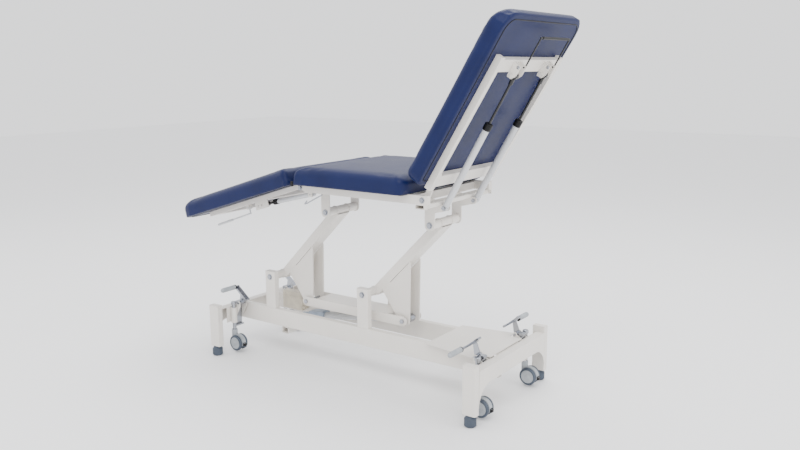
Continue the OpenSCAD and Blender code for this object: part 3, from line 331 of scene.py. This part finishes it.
def upholstery_vinyl(name, colour):
    """Upholstery vinyl: pebbled grain from small cells, low creases from stretched noise, soft sheen."""
    made = Finish(name, colour, 0.36, Specular_IOR_Level=0.14, Coat_Roughness=0.22)
    grain = made.cells(900.0)
    fine = made.noise(2400.0, 2.0)
    cloud = made.noise(7.0, 3.0)
    crease = made.noise(26.0, 2.0, stretch=(0.35, 1.0, 1.0))
    deep = made.band(grain, 0.1, 0.6)
    base = made.blend(deep, shade(colour, 1.12), shade(colour, 0.82))
    made.set("Base Color", made.blend(made.band(cloud, 0.35, 0.65) * 0.4, base, shade(colour, 1.25)))
    made.set("Roughness", 0.33 + cloud * 0.1 + deep * 0.06)
    made.set("Coat Weight", 0.03 + cloud * 0.04)
    height = 0.0 - grain * 0.7 + fine * 0.25 + crease * 2.2
    made.bumps(height, 0.22, 0.0006)
    return made.material


def chrome_plate(name, colour, roughness):
    """Bright plate: fine drawn scratches that change its gloss."""
    made = Finish(name, colour, roughness, Metallic=1.0)
    scratch = made.noise(500.0, 3.0, stretch=(0.08, 1.0, 1.0))
    smear = made.noise(25.0, 3.0)
    dull = made.band(smear, 0.35, 0.75) * 0.4
    made.set("Base Color", made.blend(dull, shade(colour, 1.0), shade(colour, 0.86)))
    made.set("Roughness", roughness * 0.7 + scratch * 0.08 + smear * roughness * 0.5)
    made.bumps(scratch, 0.06, 0.0001, edge=0.0008)
    return made.material


def moulded(name, colour, roughness):
    """Moulded plastic or rubber: fine spark-eroded grain and handling marks."""
    made = Finish(name, colour, roughness, Specular_IOR_Level=0.22)
    speck = made.noise(1400.0, 2.0)
    mark = made.noise(35.0, 3.0)
    wear = made.edge(0.0012) * 0.5
    base = made.blend(made.band(mark, 0.35, 0.7), shade(colour, 0.92), shade(colour, 1.08))
    made.set("Base Color", made.blend(wear, base, shade(colour, 1.35)))
    made.set("Roughness", roughness * 0.85 + mark * 0.2 * roughness + speck * 0.1 * roughness)
    made.bumps(speck, 0.12, 0.0003, edge=0.001)
    return made.material


def enamel(name, colour):
    """Smooth enamel on a drawn tube: faint lengthwise draw lines and a soft gloss."""
    made = Finish(name, colour, 0.25)
    drawn = made.noise(300.0, 2.0, stretch=(1.0, 1.0, 0.06))
    cloud = made.noise(9.0, 2.0)
    made.set("Base Color", made.blend(made.band(cloud, 0.3, 0.7), shade(colour, 0.95), shade(colour, 1.04)))
    made.set("Roughness", 0.2 + drawn * 0.08 + cloud * 0.08)
    made.bumps(drawn, 0.08, 0.0002, edge=0.0008)
    return made.material


def pale_floor(name, colour):
    """Plain pale floor: the faintest mottling."""
    made = Finish(name, colour, 0.6)
    mottle = made.noise(1.5, 3.0)
    made.set("Base Color", made.blend(mottle, shade(colour, 0.985), shade(colour, 1.0)))
    made.set("Roughness", 0.55 + mottle * 0.1)
    return made.material


FINISHES = {
    "cream_powder_coat": (powder_coat, (0.74, 0.705, 0.655)),
    "navy_vinyl": (upholstery_vinyl, (0.0055, 0.0105, 0.056)),
    "chrome": (chrome_plate, (0.36, 0.375, 0.41), 0.16),
    "slate_rubber": (moulded, (0.058, 0.072, 0.096), 0.55),
    "slate_tyre": (moulded, (0.068, 0.083, 0.108), 0.5),
    "grey_plastic": (moulded, (0.36, 0.385, 0.41), 0.38),
    "black_plastic": (moulded, (0.006, 0.006, 0.007), 0.4),
    "grey_steel": (enamel, (0.55, 0.56, 0.58)),
    "motor_grey": (moulded, (0.33, 0.39, 0.48), 0.42),
    "beige_plastic": (moulded, (0.6, 0.55, 0.45), 0.4),
    "black_steel": (enamel, (0.008, 0.008, 0.009)),
}


def made(slot):
    """The material of a slot, made the first time it is asked for."""
    found = bpy.data.materials.get("finish_" + slot)
    if found is None:
        maker, *values = FINISHES[slot]
        found = maker("finish_" + slot, *values)
    return found


# Cushions


# Each cushion's body, its two ends along it from its hinge, and the radii of its corners at the two
# ends. The cushions' sizes are in millimetres, drawn level.
CUSHIONS = {
    "seat_cushion": ("top_frame", (-172.0, 412.0), (26.0, 45.0)),
    "backrest_cushion": ("backrest", (50.0, 790.0), (45.0, 80.0)),
    "leg_cushion": ("leg_section", (-744.0, 0.0), (80.0, 26.0)),
}
HALF_WIDTH = 322.5
# The height of a cushion's flat back above its hinge, and the cushion's own height above its back.
PAD_BASE = 18.0
PAD_RISE = 74.0
# How much of the cover, from its back up, is held by the board.
BOARD_RISE = 3.5
# The least corner radius of a back seam, the black cord that paints the shadow in the groove round a cushion's
# board.
SHADOW_SEAM_CORNER = 12.0


def rounded_path(low, high, half_width, near_radius, far_radius):
    """A closed rounded outline in the plane of a cushion, in millimetres. Each corner is a quarter
    circle about its own centre, and the last point repeats none.
    """
    quarter = np.linspace(0, np.pi / 2, 10)
    start = np.arange(4)[:, None] * np.pi / 2
    turn = start + quarter
    middle = start + np.pi / 4
    along, across = np.sign(np.cos(middle)), np.sign(np.sin(middle))
    radius = np.where(along > 0, far_radius, near_radius)
    x = np.where(along > 0, high - radius, low + radius) + radius * np.cos(turn)
    y = across * (half_width - radius) + radius * np.sin(turn)
    return np.stack([x.ravel(), y.ravel()], axis=-1)


def cushion_place(node, points):
    """Points drawn level about a cushion's hinge, in millimetres, put in the table's frame."""
    points = np.asarray(points, float) / 1000
    if node == "backrest_cushion":
        return tilted(points, BACK_HINGE, BACK_TILT)
    if node == "leg_cushion":
        return tilted(points, LEG_HINGE, LEG_TILT)
    return points + [MIDDLE_X, 0.0, LEG_HINGE[2]]


def cushion_level(node, points):
    """The other way: points in the table's frame, level about the cushion's hinge, in metres."""
    if node == "backrest_cushion":
        hinge, tilt = BACK_HINGE, BACK_TILT
    elif node == "leg_cushion":
        hinge, tilt = LEG_HINGE, LEG_TILT
    else:
        hinge, tilt = (MIDDLE_X, 0.0, LEG_HINGE[2]), 0.0
    x, z = points[:, 0] - hinge[0], points[:, 2] - hinge[2]
    along, above = x * np.cos(tilt) + z * np.sin(tilt), z * np.cos(tilt) - x * np.sin(tilt)
    return np.stack([along, points[:, 1], above], axis=-1)


def read_points(mesh):
    """A mesh's points as an array."""
    points = np.empty(len(mesh.vertices) * 3)
    mesh.vertices.foreach_get("co", points)
    return points.reshape(-1, 3)


def cut_cover(name, node, settings):
    """A cushion's cover, cut a little inside its filled size and meshed in even squares."""
    low, high = CUSHIONS[node][1]
    source = frame["nodes"][node]
    mesh = source.data.copy()
    mesh.name = name
    mesh.transform(source.matrix_world)
    seal(mesh)
    points = cushion_level(node, read_points(mesh)) * 1000
    middle = (low + high) / 2
    half = (high - low) / 2
    cut = settings.cut * 1000
    points[:, 0] = middle + (points[:, 0] - middle) * (half - cut) / half
    points[:, 1] *= (HALF_WIDTH - cut) / HALF_WIDTH
    points[:, 2] = PAD_BASE + (points[:, 2] - PAD_BASE) * (PAD_RISE - cut) / PAD_RISE
    mesh.vertices.foreach_set("co", cushion_place(node, points).ravel())
    mesh.update()
    piece = bpy.data.objects.new(name, mesh)
    bpy.context.scene.collection.objects.link(piece)
    remesh = piece.modifiers.new("Remesh", "REMESH")
    remesh.mode = "VOXEL"
    remesh.voxel_size = settings.voxel
    settle(piece)
    return piece


def fill_cover(piece, node, settings):
    """Fills a cover by cloth pressure over a flat board, and lets no point move further than the most
    swell.
    """
    start = read_points(piece.data)
    level = cushion_level(node, start) * 1000
    board = piece.vertex_groups.new(name="board")
    held = np.nonzero(level[:, 2] < PAD_BASE + BOARD_RISE)[0]
    board.add(held.tolist(), 1.0, "REPLACE")
    cloth = piece.modifiers.new("Cloth", "CLOTH")
    cloth.settings.use_pressure = True
    cloth.settings.uniform_pressure_force = settings.pressure
    cloth.settings.effector_weights.gravity = 0.0
    cloth.settings.quality = 5
    cloth.settings.mass = 0.3
    cloth.settings.tension_stiffness = 15.0
    cloth.settings.bending_stiffness = 0.5
    cloth.settings.vertex_group_mass = "board"
    cloth.point_cache.frame_start = 1
    cloth.point_cache.frame_end = settings.steps
    for step in range(1, settings.steps + 1):
        bpy.context.scene.frame_set(step)
    settle(piece)
    bpy.context.scene.frame_set(1)
    move = read_points(piece.data) - start
    far = np.linalg.norm(move, axis=1, keepdims=True)
    move *= np.minimum(1.0, settings.cap / np.maximum(far, 1e-9))
    piece.data.vertices.foreach_set("co", (start + move).ravel())
    piece.data.update()


def stuffed(name, node, settings):
    """A cushion: its cover, cut and filled, with its squares evened out and rounded."""
    piece = cut_cover(name, node, settings)
    fill_cover(piece, node, settings)
    smooth = piece.modifiers.new("Soften", "SMOOTH")
    smooth.factor = 0.5
    smooth.iterations = 3
    subdivide = piece.modifiers.new("Subdivision", "SUBSURF")
    subdivide.levels = 1
    subdivide.render_levels = 1
    piece.data.polygons.foreach_set("use_smooth", np.ones(len(piece.data.polygons), dtype=bool))
    piece.data.materials.clear()
    piece.data.materials.append(made("navy_vinyl"))
    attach(piece, CUSHIONS[node][0])
    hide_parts(node)
    return piece


def settle(piece):
    """Puts what an object's modifiers make of it into its mesh, and takes them off."""
    graph = bpy.context.evaluated_depsgraph_get()
    settled = bpy.data.meshes.new_from_object(piece.evaluated_get(graph))
    old = piece.data
    piece.modifiers.clear()
    piece.data = settled
    name = old.name
    bpy.data.meshes.remove(old)
    settled.name = name


class TABLE_PG_cushions(bpy.types.PropertyGroup):
    """Sizes of the stuffed cushions and their back seams, whose black cords are painted shadow."""

    cut: length("Cut small", "How far the cover is cut inside its filled size", 0.0025)
    voxel: length("Mesh", "Size of the cover's squares", 0.0065)
    pressure: bpy.props.FloatProperty(name="Pressure", description="Pressure of the filling", default=4.0)
    steps: bpy.props.IntProperty(name="Steps", description="Steps that the filling takes", default=20)
    cap: length("Most swell", "How far a point of the cover may move", 0.006)
    fill: bpy.props.FloatProperty(
        name="Fill", description="How full the cushion is", default=0.85, min=0.0, max=1.0
    )
    # The back seam is a black cord: painted shadow for the groove between a cushion's edge and its board.
    shadow_seam_inset: length("Back seam inset", "From the cushion's side to the seam on its back", 0.033)
    shadow_seam_radius: length("Back seam", "Radius of the seam on a cushion's back", 0.0021)


class TABLE_OT_cushions(bpy.types.Operator):
    """Makes the three stuffed cushions"""

    bl_idname = "table.cushions"
    bl_label = "Cushions"

    def execute(self, context):
        for node in CUSHIONS:
            stuffed("stuffed_" + node, node, context.scene.table_cushions)
        return {"FINISHED"}


class TABLE_OT_cushion_seam_shadows(bpy.types.Operator):
    """Makes the seam on each cushion's back: a black cord laid along a rounded outline inside the cushion's edge.
    Its black is painted shadow, standing in for the dark groove between the cushion's overhanging edge and its
    board.
    """

    bl_idname = "table.cushion_seams"
    bl_label = "Cushion seams"

    def execute(self, context):
        settings = context.scene.table_cushions
        inset = settings.shadow_seam_inset * 1000
        for node, (body, (low, high), (near, far)) in CUSHIONS.items():
            corners = [max(radius - inset, SHADOW_SEAM_CORNER) for radius in (near, far)]
            outline = rounded_path(low + inset, high - inset, HALF_WIDTH - inset, *corners)
            path = np.column_stack([outline, np.full(len(outline), PAD_BASE)])
            path = cushion_place(node, path)
            normal = cushion_place(node, [[0, 0, 1]])[0] - cushion_place(node, [[0, 0, 0]])[0]
            grid = carried(path, settings.shadow_seam_radius, normal, closed=True)
            # A black cord as painted shadow in the groove round each cushion's board.
            surface("back_seam_" + node, [grid], body, "black_plastic")
        return {"FINISHED"}


# Castors and pedals


# For the foot end and the head end, a pedal grip's place along and above its pedal's pivot, and where
# its sleeve starts and stops across the table, in metres.
GRIPS = {-1: (0.032, 0.072, 0.178, 0.252), 1: (-0.034, 0.038, 0.238, 0.312)}
# A brake tab's half sizes, its middle from its wheels' axle, and how steeply its top slopes.
TAB_HALF = (0.0175, 0.0096, 0.0078)
TAB_OUT = (0.0288, 0.0, -0.002)
TAB_SLOPE = 0.08


class TABLE_PG_trims(bpy.types.PropertyGroup):
    """Sizes of the small trims of the castors, pedals, springs, bolts and welds."""

    disc_radius: length("Wheel disc", "Radius of the disc in a castor wheel", 0.0282)
    disc_out: length("Disc place", "From the middle of a castor to each disc", 0.0227)
    disc_rise: length("Disc rise", "Height of the disc's hub", 0.003)
    grip_ribs: bpy.props.IntProperty(name="Grip ribs", description="Ribs on each pedal grip", default=11)
    grip_radius: length("Grip sleeve", "Radius of a pedal grip's sleeve between its ribs", 0.0102)
    band_radius: length("Grip band", "Radius of the band at a grip's inner end", 0.0113)
    band_length: length("Band length", "Length of the band at a grip's inner end", 0.0065)
    rib_depth: length("Rib depth", "Depth of the grips' ribs", 0.0009)
    collar_ribs: bpy.props.IntProperty(
        name="Collar ribs", description="Ribs on each gas spring's collar", default=6
    )
    washer_height: length("Washer", "Height of a bolt's washer", 0.0018)
    cap_height: length("Bolt cap", "Height of a domed bolt cap", 0.0032)
    wire_radius: length("Wire", "Radius of the lever under the seat", 0.0026)
    weld_radius: length("Weld", "Radius of a weld bead", 0.0022)
    weld_pitch: length("Weld ripple", "Length of one ripple of a weld bead", 0.0035)


class TABLE_OT_wheel_discs(bpy.types.Operator):
    """Makes the discs in the castor wheels: a turned shape whose height dips between its rim and its
    hub as a cosine
    """

    bl_idname = "table.wheel_discs"
    bl_label = "Wheel discs"

    def execute(self, context):
        settings = context.scene.table_trims
        share = np.linspace(1.0, 0.0, 30)
        height = settings.disc_rise * (0.42 + 0.3 * np.cos(2 * np.pi * share) - 0.25 * (share > 0.97))
        hub = settings.disc_rise * 1.05 * np.clip((0.34 - share) / 0.04, 0.0, 1.0) * np.cos(share * 2.0)
        rows = np.column_stack([settings.disc_radius * share, np.maximum(height, hub)])
        rows = np.vstack([[0.0, -0.0008], [settings.disc_radius, -0.0008], rows])
        for castor in CASTORS:
            grids = []
            for out in (-1, 1):
                centre = PLACES["spin_" + castor] + [0.0, out * settings.disc_out, 0.0]
                grids.append(turned(rows, centre, [0, out, 0], 64))
            surface("wheel_discs_" + castor, grids, "wheels_" + castor, "grey_plastic")
        return {"FINISHED"}


def grip_sleeve(settings, reach):
    """A grip sleeve's turned rows: a radius that ripples along it, and a dome at its far end."""
    run = np.linspace(0.0, 1.0, settings.grip_ribs * 8 + 1)
    ripple = np.abs(np.sin(np.pi * run * settings.grip_ribs)) ** 0.6
    rows = np.column_stack([settings.grip_radius + settings.rib_depth * ripple, run * reach])
    turn = np.linspace(0, np.pi / 2, 8)[:-1]
    cap = settings.grip_radius + settings.rib_depth / 2
    dome = np.column_stack([cap * np.cos(turn), reach + cap * np.sin(turn)])
    return np.vstack([rows, dome])


def grip_band(settings):
    """A grip band's turned rows: a ring whose edges are rounded by a sine raised to a small power."""
    run = np.linspace(0.0, 1.0, 25)
    bulge = np.sin(np.pi * run) ** 0.3
    return np.column_stack([settings.band_radius * (0.65 + 0.35 * bulge), settings.band_length * (run - 1.0)])


class TABLE_OT_pedal_grips(bpy.types.Operator):
    """Makes the ribbed sleeve and the black band on each pedal grip: turned shapes"""

    bl_idname = "table.pedal_grips"
    bl_label = "Pedal grips"

    def execute(self, context):
        settings = context.scene.table_trims
        for castor, (end, side) in CASTORS.items():
            along, rise, start, stop = GRIPS[end]
            centre = PLACES["pedal_" + castor] + [end * along, 0.0, rise]
            centre[1] = side * start
            sleeve = turned(grip_sleeve(settings, stop - start), centre, [0, side, 0], 36)
            surface("grip_sleeve_" + castor, [sleeve], "pedal_" + castor, "grey_plastic")
            band = turned(grip_band(settings), centre, [0, side, 0], 36)
            surface("grip_band_" + castor, [band], "pedal_" + castor, "black_plastic")
        return {"FINISHED"}


class TABLE_OT_brake_tabs(bpy.types.Operator):
    """Makes the brake tab on each castor: a block with rounded edges whose top slopes down as it goes
    out
    """

    bl_idname = "table.brake_tabs"
    bl_label = "Brake tabs"

    def execute(self, context):
        for castor in CASTORS:
            block = soft_block(np.zeros(3), TAB_HALF, 0.3, 24)
            block[..., 2] -= (block[..., 0] + TAB_HALF[0]) * TAB_SLOPE
            block += PLACES["spin_" + castor] + TAB_OUT
            surface("brake_tab_" + castor, [block], "hood_" + castor, "black_plastic")
        return {"FINISHED"}


# Springs, bolts and welds


# Each gas spring's cylinder length, the radius of its collar and that of its rod's hole, in metres.
SPRINGS = {
    "near_spring": (0.386, 0.0151, 0.0053),
    "far_spring": (0.386, 0.0151, 0.0053),
    "leg_spring": (0.236, 0.0111, 0.0043),
}
# How long a collar's ribbed sleeve is, and how far it stays off the rod.
COLLAR_LENGTH = 0.026
ROD_GAP = 0.0006
# The bolts of the backrest's spring plates, in millimetres along and above its hinge, and where the
# plates and their faces are across the table.
PLATE_BOLT = (599.0, -31.0)
PLATE_Y = 120.0
PLATE_FACE = 24.0
# The radius of their caps, in metres.
CAP_RADIUS = 0.0062
# Where the arms' weld beads are across the table, and their rings' radius, in metres.
WELD_OUT = 0.04
WELD_RING = 0.0195


class TABLE_OT_spring_collars(bpy.types.Operator):
    """Makes the ribbed sleeves on the gas springs' collars: a turned shape with a rounded wave along
    it and a domed end
    """

    bl_idname = "table.spring_collars"
    bl_label = "Spring collars"

    def execute(self, context):
        ribs = context.scene.table_trims.collar_ribs
        run = np.linspace(0.0, 1.0, ribs * 10 + 1)
        lip = np.linspace(0.0, np.pi / 2, 7)[1:]
        for name, (top, radius, bore) in SPRINGS.items():
            low, way = PLACES[name + "_pivot"], JOINTS[name + "_stroke"]["axis"]
            inner = bore + ROD_GAP
            ripple = radius + 0.001 * np.abs(np.sin(np.pi * run * ribs)) ** 0.5
            body = np.column_stack([ripple, top - COLLAR_LENGTH + COLLAR_LENGTH * run])
            end = np.column_stack([inner + (radius - inner) * np.cos(lip), top + 0.0022 * np.sin(lip)])
            foot = [[radius - 0.0012, top - COLLAR_LENGTH - 0.001]]
            rows = np.vstack([foot, body, end, [[inner, top - 0.002]]])
            surface(name + "_sleeve", [turned(rows, low, way, 40)], name + "_cylinder", "black_plastic")
        return {"FINISHED"}


def washer_rows(radius, bore, height):
    """A washer's turned rows: a flat ring with its outer edge rounded as a quarter circle."""
    turn = np.linspace(0, np.pi / 2, 6)
    edge = np.column_stack([radius - height * 0.5 * (1 - np.cos(turn)), height * 0.5 * (1 + np.sin(turn))])
    return np.vstack([[bore, 0.0], [radius, 0.0], edge, [bore, height]])


class TABLE_OT_washers(bpy.types.Operator):
    """Makes the washers under the bolts' heads: turned flat rings with a rounded edge"""

    bl_idname = "table.washers"
    bl_label = "Washers"

    def execute(self, context):
        height = context.scene.table_trims.washer_height
        low = list(LOW_PIVOTS.values())
        # Each set's body, its pivots, how far out the washers are, their radius and their hole's.
        washers = {
            "post_washers": ("floor_frame", low, 0.1275, 0.014, 0.006),
            "hanger_washers": ("top_frame", [pivot + ARM for pivot in low], 0.1055, 0.014, 0.006),
            "frame_washers": ("top_frame", [BACK_HINGE, LEG_HINGE], 0.25, 0.012, 0.005),
        }
        for name, (body, pivots, out, radius, bore) in washers.items():
            rows = washer_rows(radius, bore, height)
            grids = [
                turned(rows, [pivot[0], side * out, pivot[2]], [0, side, 0], 40)
                for pivot in pivots
                for side in (-1, 1)
            ]
            surface(name, grids, body, "chrome")
        return {"FINISHED"}


def ring_bead(settings, centre):
    """A weld bead round a tube that runs across the table: a round section along a closed path, whose
    radius ripples as it goes.
    """
    turn = np.linspace(0, 2 * np.pi, 49)
    path = np.column_stack([np.cos(turn), turn * 0, np.sin(turn)]) * WELD_RING + centre
    steps = np.linalg.norm(np.diff(path, axis=0), axis=1)
    run = np.concatenate([[0.0], np.cumsum(steps)])
    fine = np.arange(0.0, run[-1], settings.weld_pitch / 4)
    points = np.column_stack([np.interp(fine, run, path[:, k]) for k in range(3)])
    radius = settings.weld_radius * (1.0 + 0.16 * np.sin(2 * np.pi * fine / settings.weld_pitch))
    return carried(points, radius, [0, 1, 0], sides=8, closed=True)


class TABLE_OT_welds(bpy.types.Operator):
    """Makes the weld beads round the tubes' ends: round sections along closed outlines, with a ripple"""

    bl_idname = "table.welds"
    bl_label = "Weld beads"

    def execute(self, context):
        settings = context.scene.table_trims
        for body, pivot in LOW_PIVOTS.items():
            grids = [
                ring_bead(settings, [place[0], side * WELD_OUT, place[2]])
                for place in (pivot, pivot + ARM)
                for side in (-1, 1)
            ]
            surface("weld_" + body, grids, body, "cream_powder_coat")
        return {"FINISHED"}


class TABLE_OT_bolt_caps(bpy.types.Operator):
    """Makes the domed bolt caps on the spring plates: turned shapes with a flat foot and a cosine dome"""

    bl_idname = "table.bolt_caps"
    bl_label = "Bolt caps"

    def execute(self, context):
        height = context.scene.table_trims.cap_height
        turn = np.linspace(0, np.pi / 2, 9)
        rows = np.column_stack([CAP_RADIUS * np.cos(turn), height * (0.3 + 0.7 * np.sin(turn))])
        rows = np.vstack([[0.0, 0.0], [CAP_RADIUS, 0.0], rows])
        grids = []
        for side in (-1, 1):
            for out in (-1, 1):
                bolt = [[PLATE_BOLT[0], side * PLATE_Y + out * PLATE_FACE, PLATE_BOLT[1]]]
                place = cushion_place("backrest_cushion", bolt)[0]
                grids.append(turned(rows, place, [0, out, 0], 32))
        surface("plate_bolt_caps", grids, "backrest", "chrome")
        return {"FINISHED"}


# Seat fittings


# In millimetres from the middle of the floor frame: the wire lever's side, its bends along and above
# at their shares of its length, and how many of its points each way are averaged to round the bends.
LEVER_Y = -236.0
LEVER_SHARE = (0.0, 0.12, 0.42, 0.55, 0.85, 1.0)
LEVER_X = (-64.0, -96.0, -116.0, -146.0, -164.0, -150.0)
LEVER_Z = (812.0, 796.0, 786.0, 770.0, 764.0, 779.0)
LEVER_ROUND = 5
# The middle of the black block painted as shadow in the gap between the seat and leg cushions, in millimetres too,
# and its half sizes in metres.
GAP_SHADOW_PLACE = (-166.0, -309.0, 860.0)
GAP_SHADOW_HALF = (0.0065, 0.0022, 0.011)


class TABLE_OT_seat_fittings(bpy.types.Operator):
    """Makes the wire lever under the seat frame, and a black block at the seat's foot end that is painted shadow
    for the dark gap between the seat and leg cushions: a round section along a bent line, and a flat block with
    rounded edges
    """

    bl_idname = "table.seat_fittings"
    bl_label = "Seat fittings"

    def execute(self, context):
        radius = context.scene.table_trims.wire_radius
        share = np.linspace(0, 1, 61)
        x, z = np.interp(share, LEVER_SHARE, LEVER_X), np.interp(share, LEVER_SHARE, LEVER_Z)
        soft = np.hanning(2 * LEVER_ROUND + 1)
        soft /= soft.sum()
        for bends in (x, z):
            bends[LEVER_ROUND:-LEVER_ROUND] = np.convolve(bends, soft, "valid")
        path = np.array([at(along, LEVER_Y, above) for along, above in zip(x, z)])
        surface("seat_lever", [carried(path, radius, [0, 1, 0])], "top_frame", "chrome")
        # Painted shadow: a black block standing in for the dark gap between the seat and leg cushions.
        gap_shadow = soft_block(at(*GAP_SHADOW_PLACE), GAP_SHADOW_HALF, 0.35, 20)
        surface("strap_tab", [gap_shadow], "top_frame", "black_plastic")
        return {"FINISHED"}


# Stage


# Half the floor's width, in metres.
FLOOR_REACH = 14.0
FLOOR_COLOUR = (0.93, 0.93, 0.935)
SKY_COLOUR = (0.93, 0.935, 0.95, 1.0)
# Each lamp's place, the point that it faces, its width and its power in watts.
LAMPS = {
    "lamp_key": ((1.8, -3.2, 4.2), (0.0, 0.0, 0.5), 3.4, 150.0),
    "lamp_fill": ((-4.0, -2.0, 2.6), (0.0, 0.0, 0.6), 3.5, 45.0),
    "lamp_top": ((-0.2, 1.6, 4.4), (0.0, 0.0, 0.7), 3.0, 110.0),
    "lamp_head": ((4.4, 0.6, 2.4), (0.3, 0.0, 0.8), 2.6, 60.0),
}


class TABLE_PG_stage(bpy.types.PropertyGroup):
    """Where the camera and the lights stand."""

    camera_place: bpy.props.FloatVectorProperty(
        name="Camera",
        description="Where the camera stands, from the middle of the floor frame",
        default=(2.1601, -2.7884, 1.3346),
        subtype="TRANSLATION",
    )
    camera_turn: bpy.props.FloatProperty(
        name="Turn",
        description="How far the camera is turned from the side",
        default=np.radians(35.58),
        unit="ROTATION",
    )
    camera_dip: bpy.props.FloatProperty(
        name="Dip", description="How far the camera looks down", default=np.radians(10.96), unit="ROTATION"
    )
    camera_roll: bpy.props.FloatProperty(
        name="Roll", description="How far the camera leans", default=np.radians(-0.37), unit="ROTATION"
    )
    lens: bpy.props.FloatProperty(name="Lens", description="Focal length in millimetres", default=36.75)
    sky: bpy.props.FloatProperty(
        name="Surroundings", description="Strength of the pale surroundings", default=1.7
    )


def pale_ground():
    """The floor: one wide square."""
    x, y = np.meshgrid([-FLOOR_REACH, FLOOR_REACH], [-FLOOR_REACH, FLOOR_REACH])
    corners = np.column_stack([x.ravel(), y.ravel(), np.zeros(4)])
    mesh = bpy.data.meshes.new("floor")
    mesh.from_pydata(corners.tolist(), [], [[0, 1, 3, 2]])
    mesh.materials.append(pale_floor("finish_floor", FLOOR_COLOUR))
    floor = bpy.data.objects.new("floor", mesh)
    bpy.context.scene.collection.objects.link(floor)


def lamp(name, place, aim, size, power):
    """A soft square lamp that faces a point."""
    light = bpy.data.lights.new(name, "AREA")
    light.size = size
    light.energy = power
    stand = bpy.data.objects.new(name, light)
    stand.location = place
    stand.rotation_euler = (Vector(aim) - Vector(place)).to_track_quat("-Z", "Y").to_euler()
    bpy.context.scene.collection.objects.link(stand)


def surroundings(strength):
    """Pale light from all round."""
    world = bpy.data.worlds.new("surroundings")
    world.use_nodes = True
    backdrop = world.node_tree.nodes["Background"]
    backdrop.inputs["Color"].default_value = SKY_COLOUR
    backdrop.inputs["Strength"].default_value = strength
    bpy.context.scene.world = world


def camera_matrix(settings):
    """Where the camera stands and how it is turned, dipped and leant. It looks along its own -Z."""
    turn, dip, roll = settings.camera_turn, settings.camera_dip, settings.camera_roll
    ahead = np.array([-np.sin(turn) * np.cos(dip), np.cos(turn) * np.cos(dip), -np.sin(dip)])
    right = np.array([np.cos(turn), np.sin(turn), 0.0])
    up = np.cross(right, ahead)
    across = right * np.cos(roll) + up * np.sin(roll)
    above = up * np.cos(roll) - right * np.sin(roll)
    matrix = np.eye(4)
    matrix[:3, 0], matrix[:3, 1], matrix[:3, 2] = across, above, -ahead
    matrix[:3, 3] = np.array(settings.camera_place) + [MIDDLE_X, 0.0, 0.0]
    return Matrix(matrix.tolist())


class TABLE_OT_stage(bpy.types.Operator):
    """Sets the pale floor, the soft lamps and the camera"""

    bl_idname = "table.stage"
    bl_label = "Floor, light and camera"

    def execute(self, context):
        settings = context.scene.table_stage
        pale_ground()
        for name, place in LAMPS.items():
            lamp(name, *place)
        surroundings(settings.sky)
        lens = bpy.data.cameras.new("camera")
        lens.lens = settings.lens
        lens.sensor_width = 36.0
        camera = bpy.data.objects.new("camera", lens)
        camera.matrix_world = camera_matrix(settings)
        context.scene.collection.objects.link(camera)
        context.scene.camera = camera
        return {"FINISHED"}


class TABLE_OT_finishes(bpy.types.Operator):
    """Gives every part of the frame its finish"""

    bl_idname = "table.finishes"
    bl_label = "Finishes"

    def execute(self, context):
        for part in frame["record"]["subparts"]:
            mesh = frame["nodes"][part["node"]].data
            mesh.materials.clear()
            mesh.materials.append(made(part["material_slot"]))
        return {"FINISHED"}


class TABLE_PT_panel(bpy.types.Panel):
    """Lists the table's pieces and their sizes"""

    bl_idname = "TABLE_PT_panel"
    bl_label = "Treatment table"
    bl_space_type = "VIEW_3D"
    bl_region_type = "UI"
    bl_category = "Table"

    def draw(self, context):
        layout = self.layout
        for group in (context.scene.table_cushions, context.scene.table_trims, context.scene.table_stage):
            box = layout.box()
            for key in group.__annotations__:
                box.prop(group, key)
        for piece in PIECES:
            layout.operator(piece.bl_idname)


PIECES = (
    TABLE_OT_finishes,
    TABLE_OT_cushions,
    TABLE_OT_cushion_seam_shadows,
    TABLE_OT_wheel_discs,
    TABLE_OT_pedal_grips,
    TABLE_OT_brake_tabs,
    TABLE_OT_spring_collars,
    TABLE_OT_washers,
    TABLE_OT_bolt_caps,
    TABLE_OT_seat_fittings,
    TABLE_OT_welds,
    TABLE_OT_stage,
)
GROUPS = {
    "table_cushions": TABLE_PG_cushions,
    "table_trims": TABLE_PG_trims,
    "table_stage": TABLE_PG_stage,
}
CLASSES = (*GROUPS.values(), *PIECES, TABLE_PT_panel)


def register():
    """Adds the pieces' settings, operators and panel."""
    for kind in CLASSES:
        bpy.utils.register_class(kind)
    for name, group in GROUPS.items():
        setattr(bpy.types.Scene, name, bpy.props.PointerProperty(type=group))


def unregister():
    """Takes them away again."""
    for name in GROUPS:
        delattr(bpy.types.Scene, name)
    for kind in reversed(CLASSES):
        bpy.utils.unregister_class(kind)


def main():
    """Builds every piece in order."""
    register()
    for piece in PIECES:
        family, name = piece.bl_idname.split(".")
        getattr(getattr(bpy.ops, family), name)()


if __name__ == "__main__":
    main()
